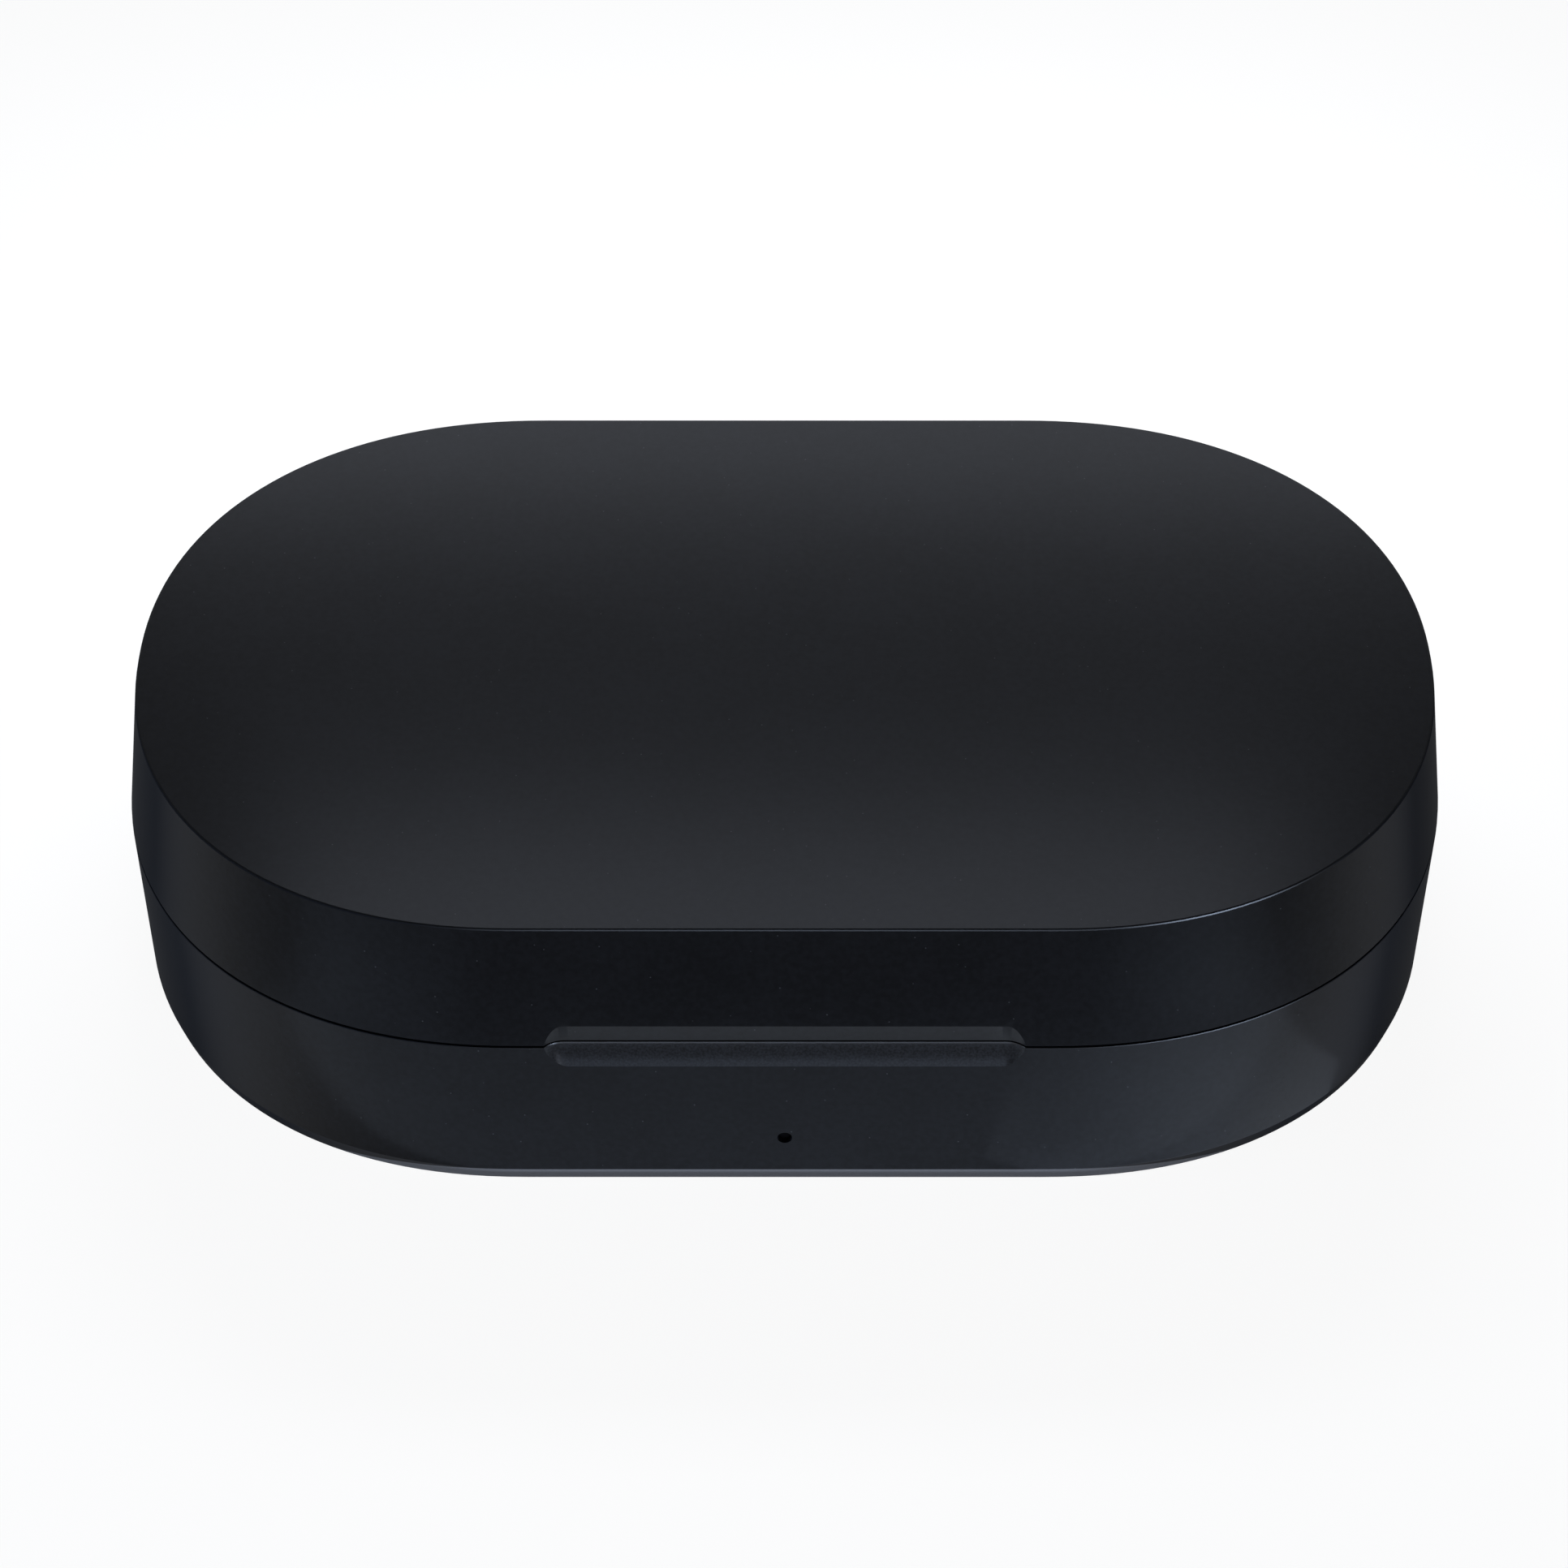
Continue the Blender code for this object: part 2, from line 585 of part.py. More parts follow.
def stadium(width, height):
    """Outline with two straight sides and round ends."""
    radius = height / 2
    points = []
    for side in (1, -1):
        for step in range(SOCKET_END_STEPS + 1):
            angle = math.pi * (step / SOCKET_END_STEPS - 0.5)
            x = width / 2 - radius + radius * math.cos(angle)
            points.append((side * x, side * radius * math.sin(angle)))
    return points


def stadium_prism(name, width, height, depth):
    """Prism along Y with a stadium section, about its own middle."""
    prism = extruded(name, [stadium(width, height)], depth)
    prism.rotation_euler = (math.pi / 2, 0, 0)
    return prism


def board_screw_places():
    front = -CASE_WIDTH / 2 + BOARD_SCREW_FRONT
    back = CASE_WIDTH / 2 - BOARD_SCREW_BACK
    places = []
    for side_name, side in SIDES:
        places.append((f"{side_name}_front_board_screw", side * BOARD_SCREW_X, front))
        places.append((f"{side_name}_back_board_screw", side * BOARD_SCREW_X, back))
    return places


def hinge_screw_places():
    y = NECK_BACK - NECK_THICKNESS - HINGE_SCREW_SETBACK
    return [(f"{side_name}_hinge_screw", side * HINGE_SCREW_X, y) for side_name, side in SIDES]


def make_screw(name, x, y, seat, length):
    crown = SCREW_HEAD_RADIUS - SCREW_HEAD_CHAMFER
    profile = [(0, SCREW_HEAD_HEIGHT), (crown, SCREW_HEAD_HEIGHT)]
    profile += [(SCREW_HEAD_RADIUS, SCREW_HEAD_HEIGHT - SCREW_HEAD_CHAMFER), (SCREW_HEAD_RADIUS, 0)]
    profile += [(SCREW_SHANK_RADIUS, 0), (SCREW_SHANK_RADIUS, -length), (0, -length)]
    make_part(turned(name, profile, (x, y, seat), SCREW_STEPS), STEEL)


def make_screws():
    for name, x, y in board_screw_places():
        make_screw(name, x, y, CHIP_SEAT, BOARD_SCREW_LENGTH)
    for name, x, y in hinge_screw_places():
        make_screw(name, x, y, TRAY_TOP - HEAD_SINK + REST_GAP, HINGE_SCREW_LENGTH)


def make_hinge_bracket():
    half = BARREL_LENGTH / 2
    bracket = rod("hinge_bracket", (-half, HINGE_Y, HINGE_Z), (half, HINGE_Y, HINGE_Z), BARREL_RADIUS)
    make_part(bracket, INNER_BLACK)
    flange_foot = TRAY_TOP - FLANGE_THICKNESS
    neck_front = NECK_BACK - NECK_THICKNESS
    neck = block("hinge_neck", (-half, neck_front, flange_foot), (half, NECK_BACK, HINGE_Z))
    flange = block("hinge_flange", (-half, FLANGE_FRONT, flange_foot), (half, NECK_BACK, TRAY_TOP))
    join(bracket, make_cutter(neck))
    join(bracket, make_cutter(flange))
    cut(bracket, make_pin_bore("barrel_bore", half + CUT_MARGIN))
    for name, x, y in hinge_screw_places():
        head_seat = TRAY_TOP - HEAD_SINK
        head_radius = SCREW_HEAD_RADIUS + SCREW_PLAY
        shank_radius = SCREW_SHANK_RADIUS + SCREW_PLAY
        top = TRAY_TOP + CUT_MARGIN
        foot = flange_foot - CUT_MARGIN
        cut(bracket, make_cutter(rod(name + "_counterbore", (x, y, head_seat), (x, y, top), head_radius)))
        cut(bracket, make_cutter(rod(name + "_hole", (x, y, foot), (x, y, top), shank_radius)))


def make_hinge_pin():
    half = HINGE_SLOT / 2 + EAR_LENGTH - FIT_GAP
    make_part(rod("hinge_pin", (-half, HINGE_Y, HINGE_Z), (half, HINGE_Y, HINGE_Z), PIN_RADIUS), STEEL)


def hollow_stations(floor, top, radius, draft):
    """(inset, height) pairs up a rounded floor and a drafted wall."""
    stations = []
    for step in range(EDGE_STEPS + 1):
        angle = math.pi / 2 * step / EDGE_STEPS
        stations.append((draft + radius * (1 - math.sin(angle)), floor + radius * (1 - math.cos(angle))))
    stations.append((0, top))
    return stations


def make_cradle_tray():
    edge = WALL + FIT_GAP
    tray = loft("cradle_tray", pill_rings([(edge, TRAY_UNDERSIDE), (edge, TRAY_TOP)]))
    make_part(tray, INNER_BLACK)
    seat_half = BARREL_LENGTH / 2 + FIT_GAP
    border = HINGE_BLOCK_BORDER
    plate_middle = TRAY_TOP - TRAY_THICKNESS / 2
    block_low = (-seat_half - border, FLANGE_FRONT - border, TRAY_UNDERSIDE - HINGE_BLOCK_HEIGHT)
    block_high = (seat_half + border, NECK_BACK - NECK_THICKNESS, plate_middle)
    join(tray, make_cutter(block("hinge_seat_block", block_low, block_high)))
    hollows = []
    for side_name, side in SIDES:
        well = (side * WELL_X, 0)
        pocket = (side * TIP_POCKET_X, TIP_POCKET_BACK)
        forms = [
            (f"{side_name}_well", well, WELL_HALF_LENGTH, WELL_HALF_WIDTH, WELL_SQUARENESS),
            (f"{side_name}_tip_pocket", pocket, TIP_POCKET_RADIUS, TIP_POCKET_RADIUS, 2),
        ]
        for name, centre, half_length, half_width, squareness in forms:
            outer = hollow_stations(CUP_UNDERSIDE, plate_middle, WELL_FLOOR_RADIUS, WELL_DRAFT)
            cup_sizes = (half_length + CUP_WALL, half_width + CUP_WALL, squareness)
            join(tray, make_cutter(loft(name + "_cup", bowl_rings(centre, *cup_sizes, outer))))
            inner = hollow_stations(WELL_FLOOR, TRAY_TOP - WELL_LIP, WELL_FLOOR_RADIUS, WELL_DRAFT)
            inner.append((-WELL_LIP - CUT_MARGIN, TRAY_TOP + CUT_MARGIN))
            sizes = (half_length, half_width, squareness)
            hollows.append(make_cutter(loft(name + "_hollow", bowl_rings(centre, *sizes, inner))))
    for hollow in hollows:
        cut(tray, hollow)
    recess_low = (-seat_half, FLANGE_FRONT - FIT_GAP, FLANGE_SEAT)
    recess_high = (seat_half, CASE_WIDTH / 2, TRAY_TOP + CUT_MARGIN)
    cut(tray, make_cutter(block("flange_recess", recess_low, recess_high)))
    for name, x, y in hinge_screw_places():
        foot = TRAY_TOP - HEAD_SINK - HINGE_SCREW_LENGTH - REST_GAP
        bore = rod(name + "_bore", (x, y, foot), (x, y, TRAY_TOP), SCREW_SHANK_RADIUS + SCREW_PLAY)
        cut(tray, make_cutter(bore))
    for side_name, side in SIDES:
        add_contact_pedestal(tray, side_name, side)


def contact_place(side):
    return Vector((side * (WELL_X + CONTACT_X), CONTACT_Y, 0))


def add_contact_pedestal(tray, side_name, side):
    """Raised pad in the well, with an opening that the contact block stands in."""
    middle = contact_place(side)
    half = Vector((CONTACT_BLOCK_LENGTH / 2, CONTACT_BLOCK_WIDTH / 2, 0))
    border = Vector((PEDESTAL_BORDER, PEDESTAL_BORDER, 0))
    gap = Vector((FIT_GAP, FIT_GAP, 0))
    foot = Vector((0, 0, WELL_FLOOR - CUP_FLOOR / 2))
    top = Vector((0, 0, WELL_FLOOR + PEDESTAL_HEIGHT))
    pedestal = block(f"{side_name}_pedestal", middle - half - border + foot, middle + half + border + top)
    join(tray, make_cutter(pedestal))
    foot.z = CUP_UNDERSIDE - CUT_MARGIN
    top.z += CUT_MARGIN
    opening = block(f"{side_name}_contact_opening", middle - half - gap + foot, middle + half + gap + top)
    cut(tray, make_cutter(opening))


def make_lid_liner(lid_axis):
    edge = WALL + FIT_GAP + lid_inset(LINER_TOP)
    liner = loft("lid_liner", pill_rings([(edge, LINER_UNDERSIDE), (edge, LINER_TOP)]))
    make_part(liner, INNER_BLACK, lid_axis)
    hollows = []
    for side_name, side in SIDES:
        centre = (side * WELL_X, 0)
        sizes = (WELL_HALF_LENGTH - LINER_POCKET_INSET, WELL_HALF_WIDTH - LINER_POCKET_INSET)
        cup_sizes = (sizes[0] + LINER_CUP_WALL, sizes[1] + LINER_CUP_WALL)
        plate_middle = LINER_UNDERSIDE + LINER_THICKNESS / 2
        outer = dome_stations(LINER_CUP_TOP, plate_middle)
        cup = loft(f"{side_name}_liner_cup", bowl_rings(centre, *cup_sizes, WELL_SQUARENESS, outer))
        join(liner, make_cutter(cup))
        inner = dome_stations(LINER_CUP_TOP - LINER_CUP_WALL, LINER_UNDERSIDE - CUT_MARGIN)
        hollow = loft(f"{side_name}_liner_hollow", bowl_rings(centre, *sizes, WELL_SQUARENESS, inner))
        hollows.append(make_cutter(hollow))
    for hollow in hollows:
        cut(liner, hollow)
    half_notch = HINGE_SLOT / 2 + EAR_LENGTH + FIT_GAP
    notch_low = (-half_notch, HINGE_Y - BARREL_RADIUS - 2 * FIT_GAP, LINER_UNDERSIDE - CUT_MARGIN)
    notch_high = (half_notch, CASE_WIDTH / 2, LINER_TOP + CUT_MARGIN)
    cut(liner, make_cutter(block("liner_hinge_notch", notch_low, notch_high)))


def dome_stations(roof, foot):
    """(inset, height) pairs of a hollow that opens downwards under a rounded roof."""
    upright = hollow_stations(foot, roof, WELL_FLOOR_RADIUS, WELL_DRAFT)
    return [(inset, roof + foot - z) for inset, z in upright]


def make_magnets(lid_axis):
    half = CLOSING_MAGNET / 2
    for side_name, side in SIDES:
        middle = Vector((side * CLOSING_MAGNET_X, CLOSING_MAGNET_Y, LINER_TOP + REST_GAP + half.z))
        make_part(block(f"{side_name}_lid_magnet", middle - half, middle + half), NICKEL, lid_axis)
        middle.z = TRAY_UNDERSIDE - REST_GAP - half.z
        make_part(block(f"{side_name}_base_magnet", middle - half, middle + half), NICKEL)
        top = Vector((side * (WELL_X + WELL_MAGNET_X), WELL_MAGNET_Y, CUP_UNDERSIDE - REST_GAP))
        foot = top - Vector((0, 0, WELL_MAGNET_HEIGHT))
        make_part(rod(f"{side_name}_well_magnet", foot, top, WELL_MAGNET_RADIUS), NICKEL)


def circle(x, y, radius, steps):
    angles = [2 * math.pi * step / steps for step in range(steps)]
    return [(x + radius * math.cos(angle), y + radius * math.sin(angle)) for angle in angles]


def make_main_board():
    """Cross-shaped board: a strip from front to back, with a wing under each pair of contacts."""
    strip = BOARD_STRIP_WIDTH / 2
    wing_front = CONTACT_Y - BOARD_WING_WIDTH / 2
    wing_back = CONTACT_Y + BOARD_WING_WIDTH / 2
    right = [(strip, BOARD_FRONT), (strip, wing_front), (BOARD_WING_REACH, wing_front)]
    right += [(BOARD_WING_REACH, wing_back), (strip, wing_back), (strip, BOARD_BACK)]
    outline = right + [(-x, y) for x, y in reversed(right)]
    holes = [circle(x, y, SCREW_SHANK_RADIUS + SCREW_PLAY, SCREW_STEPS) for _, x, y in board_screw_places()]
    board = extruded("main_board", [outline, *holes], BOARD_THICKNESS)
    board.location.z = BOARD_UNDERSIDE + BOARD_THICKNESS / 2
    make_part(board, BOARD_GREEN)


def make_board_parts():
    led_y = BOARD_FRONT + INDICATOR_LED.y / 2
    parts = [
        ("charger_chip", CHARGER_CHIP, 0, BATTERY_FRONT + CHARGER_CHIP_SETBACK, CHIP_BLACK),
        ("controller_chip", CONTROLLER_CHIP, 0, BATTERY_FRONT + CONTROLLER_CHIP_SETBACK, CHIP_BLACK),
        ("power_inductor", INDUCTOR, 0, BATTERY_FRONT + INDUCTOR_SETBACK, FERRITE),
        ("lid_sensor", LID_SENSOR, LID_SENSOR_X, LID_SENSOR_FRONT - CASE_WIDTH / 2, CHIP_BLACK),
        ("indicator_led", INDICATOR_LED, 0, led_y, LED_WHITE),
    ]
    for name, size, x, y, finish in parts:
        low = Vector((x - size.x / 2, y - size.y / 2, CHIP_SEAT))
        make_part(block(name, low, low + size, CHIP_BEVEL), finish)


def make_light_pipe():
    """Stepped rod whose thin tip stands in the indicator hole and whose collar faces the LED."""
    tip = -CASE_WIDTH / 2 + base_inset(INDICATOR_HEIGHT) + LIGHT_PIPE_SINK
    shoulder = LIGHT_PIPE_SHOULDER - tip
    back = LIGHT_PIPE_BACK - tip
    tip_radius = INDICATOR_RADIUS - LIGHT_PIPE_PLAY
    profile = [(0, back), (LIGHT_PIPE_COLLAR, back), (LIGHT_PIPE_COLLAR, shoulder)]
    profile += [(tip_radius, shoulder), (tip_radius, 0), (0, 0)]
    pipe = turned("light_pipe", profile, (0, tip, INDICATOR_HEIGHT))
    pipe.rotation_euler = (-math.pi / 2, 0, 0)
    make_part(pipe, SMOKED_PIPE)


def make_battery():
    low = Vector((-BATTERY_HALF_WIDTH, BATTERY_FRONT, BATTERY_SEAT))
    high = Vector((BATTERY_HALF_WIDTH, BATTERY_BACK, BATTERY_TOP))
    make_part(block("battery_cell", low, high, BATTERY_BEVEL), CELL_FILM)
    border = Vector((PAD_BORDER, PAD_BORDER, 0))
    pad_low = Vector((low.x, low.y, PAD_SEAT)) + border
    pad_high = Vector((high.x, high.y, PAD_SEAT + PAD_THICKNESS)) - border
    make_part(block("battery_pad", pad_low, pad_high), PAD_FOAM)
    for name, x, finish in (("positive_lead", LEAD_X, LEAD_RED), ("negative_lead", -LEAD_X, LEAD_BLACK)):
        make_part(wire(name, lead_route(x), LEAD_RADIUS), finish)


def lead_route(x):
    """Half turn out of the cell's front face and down onto the board."""
    start_z = BATTERY_SEAT + (BATTERY_TOP - BATTERY_SEAT) / 2
    end_z = CHIP_SEAT + LEAD_RADIUS
    front = BATTERY_FRONT - REST_GAP
    points = []
    for step in range(LEAD_STEPS + 1):
        angle = math.pi / 2 * step / LEAD_STEPS
        y = front - LEAD_REACH * math.sin(angle)
        points.append((x, y, end_z + LEAD_RADIUS + (start_z - end_z - LEAD_RADIUS) * math.cos(angle)))
    points.append((x, points[-1][1], end_z - LEAD_RADIUS + REST_GAP))
    return points


def make_socket():
    mouth = CASE_WIDTH / 2 - base_inset(SOCKET_Z) - SOCKET_SINK
    shell = stadium_prism("socket_shell", SOCKET_WIDTH, SOCKET_HEIGHT, SOCKET_DEPTH)
    shell.location = (0, mouth - SOCKET_DEPTH / 2, SOCKET_Z)
    make_part(shell, STEEL)
    inner_width = SOCKET_WIDTH - 2 * SOCKET_SKIN
    inner_height = SOCKET_HEIGHT - 2 * SOCKET_SKIN
    inner_depth = SOCKET_DEPTH - SOCKET_BACK
    hollow = stadium_prism("socket_hollow", inner_width, inner_height, inner_depth + CUT_MARGIN)
    hollow.location = (0, mouth + (CUT_MARGIN - inner_depth) / 2, SOCKET_Z)
    cut(shell, make_cutter(hollow))
    tongue_back = mouth - inner_depth + REST_GAP
    half_thickness = TONGUE_THICKNESS / 2
    low = (-TONGUE_WIDTH / 2, tongue_back, SOCKET_Z - half_thickness)
    high = (TONGUE_WIDTH / 2, mouth - TONGUE_SINK, SOCKET_Z + half_thickness)
    make_part(block("socket_tongue", low, high, CHIP_BEVEL), CHIP_BLACK)


def make_contacts():
    for side_name, side in SIDES:
        middle = contact_place(side)
        half = Vector((CONTACT_BLOCK_LENGTH / 2, CONTACT_BLOCK_WIDTH / 2, 0))
        foot = Vector((0, 0, CHIP_SEAT))
        top = Vector((0, 0, CONTACT_BLOCK_TOP))
        holder = block(f"{side_name}_contact_block", middle - half + foot, middle + half + top)
        make_part(holder, INNER_BLACK)
        for which, offset in (("inner", -side), ("outer", side)):
            x = middle.x + offset * CONTACT_SPACING / 2
            make_contact(f"{side_name}_{which}", holder, x, middle.y)


def make_contact(name, holder, x, y):
    """Plunger with a flange under the block's cap, and the spring that pushes it up."""
    cap_foot = CONTACT_BLOCK_TOP - CONTACT_CAP
    bore = rod(name + "_bore", (x, y, CHIP_SEAT - CUT_MARGIN), (x, y, cap_foot), BORE_RADIUS)
    cut(holder, make_cutter(bore))
    neck_foot = cap_foot - CONTACT_CAP / 2
    neck_top = CONTACT_BLOCK_TOP + CUT_MARGIN
    neck = rod(name + "_neck", (x, y, neck_foot), (x, y, neck_top), PLUNGER_RADIUS + CONTACT_PLAY)
    cut(holder, make_cutter(neck))
    dome_foot = PLUNGER_TIP - PLUNGER_RADIUS
    profile = []
    for step in range(EDGE_STEPS + 1):
        angle = math.pi / 2 * step / EDGE_STEPS
        profile.append((PLUNGER_RADIUS * math.sin(angle), dome_foot + PLUNGER_RADIUS * math.cos(angle)))
    profile += [(PLUNGER_RADIUS, FLANGE_TOP_OF_PLUNGER), (PLUNGER_FLANGE_RADIUS, FLANGE_TOP_OF_PLUNGER)]
    profile += [(PLUNGER_FLANGE_RADIUS, FOOT_OF_PLUNGER), (0, FOOT_OF_PLUNGER)]
    make_part(turned(name + "_plunger", profile, (x, y, 0)), GOLD)
    make_part(wire(name + "_spring", spring_route(x, y), SPRING_WIRE_RADIUS), STEEL)


def spring_route(x, y):
    """Helix between the board and the plunger's foot."""
    foot = CHIP_SEAT + SPRING_WIRE_RADIUS
    top = FOOT_OF_PLUNGER - REST_GAP - SPRING_WIRE_RADIUS
    coil_radius = PLUNGER_FLANGE_RADIUS - SPRING_WIRE_RADIUS
    count = SPRING_TURNS * SPRING_TURN_POINTS
    points = []
    for step in range(count + 1):
        angle = 2 * math.pi * step / SPRING_TURN_POINTS
        height = foot + (top - foot) * step / count
        points.append((x + coil_radius * math.cos(angle), y + coil_radius * math.sin(angle), height))
    return points


def make_case():
    clear_scene()
    lid_axis = bpy.data.objects.new("lid_axis", None)
    lid_axis.location = (0, HINGE_Y, HINGE_Z)
    bpy.data.collections[CASE_COLLECTION].objects.link(lid_axis)
    bpy.context.view_layer.update()
    space_above_seam, space_below_seam = make_seam_cutters()
    make_base_shell(space_above_seam)
    make_lid_shell(lid_axis, space_below_seam)
    make_lid_liner(lid_axis)
    make_hinge_bracket()
    make_hinge_pin()
    make_cradle_tray()
    make_magnets(lid_axis)
    make_main_board()
    make_board_parts()
    make_light_pipe()
    make_battery()
    make_socket()
    make_contacts()
    make_screws()


make_case()
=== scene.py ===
"""Looks of the earbuds case: fine shells, a lined lid, the cradle with its contacts, and the studio."""

import json
import math

import bmesh
import bpy
from bpy.props import FloatProperty, FloatVectorProperty, PointerProperty
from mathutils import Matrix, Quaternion, Vector


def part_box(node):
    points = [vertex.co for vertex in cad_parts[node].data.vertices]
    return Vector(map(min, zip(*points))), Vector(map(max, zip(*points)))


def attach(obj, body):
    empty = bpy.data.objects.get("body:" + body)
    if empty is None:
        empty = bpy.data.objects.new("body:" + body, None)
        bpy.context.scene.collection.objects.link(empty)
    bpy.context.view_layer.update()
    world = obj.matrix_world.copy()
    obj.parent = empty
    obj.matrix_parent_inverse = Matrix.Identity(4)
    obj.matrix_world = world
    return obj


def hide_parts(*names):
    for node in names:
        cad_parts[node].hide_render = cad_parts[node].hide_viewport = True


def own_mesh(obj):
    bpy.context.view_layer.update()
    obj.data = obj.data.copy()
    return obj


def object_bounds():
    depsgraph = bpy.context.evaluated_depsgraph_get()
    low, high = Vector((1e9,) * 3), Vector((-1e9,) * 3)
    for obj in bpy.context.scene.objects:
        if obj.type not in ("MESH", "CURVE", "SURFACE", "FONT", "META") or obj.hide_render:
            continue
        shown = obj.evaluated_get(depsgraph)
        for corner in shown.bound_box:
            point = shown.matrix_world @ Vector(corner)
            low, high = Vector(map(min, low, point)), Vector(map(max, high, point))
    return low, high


bl_info = {
    "name": "Earbuds Case",
    "version": (1, 0, 0),
    "blender": (4, 5, 0),
    "location": "3D View > Sidebar > Earbuds Case",
    "description": "Dresses the packed earbuds case and sets up its studio",
    "category": "Object",
}

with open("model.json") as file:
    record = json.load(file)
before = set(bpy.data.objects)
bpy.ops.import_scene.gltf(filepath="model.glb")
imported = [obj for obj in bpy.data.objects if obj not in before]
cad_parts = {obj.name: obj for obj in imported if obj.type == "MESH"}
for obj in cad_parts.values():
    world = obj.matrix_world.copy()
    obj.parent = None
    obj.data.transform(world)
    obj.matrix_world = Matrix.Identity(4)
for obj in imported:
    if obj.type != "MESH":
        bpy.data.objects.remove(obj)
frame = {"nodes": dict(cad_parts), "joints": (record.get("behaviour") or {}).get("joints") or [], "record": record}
CAD_LOW, CAD_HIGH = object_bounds()
RECORD = frame["record"]
HINGE_PLACE = next(joint["pos_m"] for joint in frame["joints"] if joint["type"] == "hinge")
BODY_OF = {node: body for body, nodes in RECORD["behaviour"]["bodies"].items() for node in nodes}
TRAY_LOW, TRAY_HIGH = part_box("cradle_tray")
LINER_LOW, LINER_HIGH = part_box("lid_liner")
SIDES = (("left", -1), ("right", 1))

END_STEPS = 80
RUN_STEPS = 30
WALL_STEPS = 8
ROUND_STEPS = 64
BOWL_STEPS = 128
SCOOP_STEPS = 6
SCOOP_END_STEPS = 14
SCOOP_CLEAR = 0.0001
CUT_MARGIN = 0.001


def length_of(name, default, description):
    return FloatProperty(name=name, description=description, default=default, unit="LENGTH", precision=5)


def factor_of(name, default, description):
    return FloatProperty(name=name, description=description, default=default, subtype="FACTOR", min=0, max=1)


def number_of(name, default, description):
    return FloatProperty(name=name, description=description, default=default, min=0)


def colour_of(name, default, description):
    return FloatVectorProperty(
        name=name, description=description, default=default, subtype="COLOR", size=3, min=0, max=1
    )


class CaseSizes(bpy.types.PropertyGroup):
    """Sizes of the two outer shells"""

    length: length_of("Length", CAD_HIGH.x - CAD_LOW.x, "Length of the case at the parting line")
    width: length_of("Width", CAD_HIGH.y - CAD_LOW.y, "Width of the case at the parting line")
    top: length_of("Top", CAD_HIGH.z, "Height of the lid's top")
    parting: length_of("Parting", 0.0115, "Height of the parting line at the front")
    parting_gap: length_of("Parting gap", 0.00017, "Gap between lid and base")
    straight_run: length_of("Straight run", 0.0304, "Straight stretch of the front and of the back")
    squareness: number_of("Squareness", 2.18, "Power of the rounded ends, where 2 is an ellipse")
    lid_lean: length_of("Lid lean", 0.00104, "How far the lid's wall leans in by its top")
    base_lean: length_of("Base lean", 0.0003, "How far the base's wall leans in by its foot")
    top_edge: length_of("Top edge", 0.00005, "Size of the polished line along the lid's top edge")
    brow: length_of("Brow", 0.00009, "Width of the slope between that line and the lid's top")
    brow_drop: length_of("Brow drop", 0.000037, "How far that slope falls")
    seam_edge: length_of("Seam edge", 0.000035, "Size of the edges along the parting line")
    bevel_height: length_of("Bevel height", 0.00103, "Height of the bevel round the bottom")
    bevel_depth: length_of("Bevel depth", 0.0003, "Depth of the bevel round the bottom")
    bottom_edge: length_of("Bottom edge", 0.00012, "Radius where the bevel meets the underside")
    wall: length_of("Wall", 0.0015, "Thickness of the shells' walls")
    roof: length_of("Roof", 0.0015, "Thickness of the lid's roof")
    floor: length_of("Floor", 0.0014, "Thickness of the base's floor")
    floor_fillet: length_of("Floor fillet", 0.0008, "Size of the fillet round the base's floor")
    ledge: length_of("Ledge", 0.0009, "Step in the base's wall that carries the tray")
    ledge_height: length_of("Ledge height", 0.0096, "Height of the step that carries the tray")
    fit_gap: length_of("Fit gap", 0.0003, "Gap at the sides of a piece that fits in another")
    indicator_radius: length_of("Indicator", 0.00044, "Radius of the indicator hole")
    indicator_height: length_of("Indicator height", 0.0038, "Height of the indicator hole")
    boss_radius: length_of("Boss", 0.0016, "Radius of the posts under the circuit board")
    boss_top: length_of("Boss top", 0.0024, "Height of the posts under the circuit board")


class ScoopSizes(bpy.types.PropertyGroup):
    """Sizes of the finger scoop"""

    length: length_of("Length", 0.0277, "Length of the scoop")
    above: length_of("Above", 0.00153, "Height of the scoop's flat flank in the lid")
    below: length_of("Below", 0.00158, "Height of the scoop's cove in the base")
    depth: length_of("Depth", 0.0005, "Depth of the scoop at the parting line")
    start: number_of("Start", 0.06, "How steeply the cove sets out from the parting line")
    flank_end: length_of("Flank end", 0.00115, "Length of the flank's rounded ends")
    cove_end: length_of("Cove end", 0.00145, "Length of the cove's rounded ends")
    lip: length_of("Lip", 0.00006, "Size of the edges along the parting line inside the scoop")


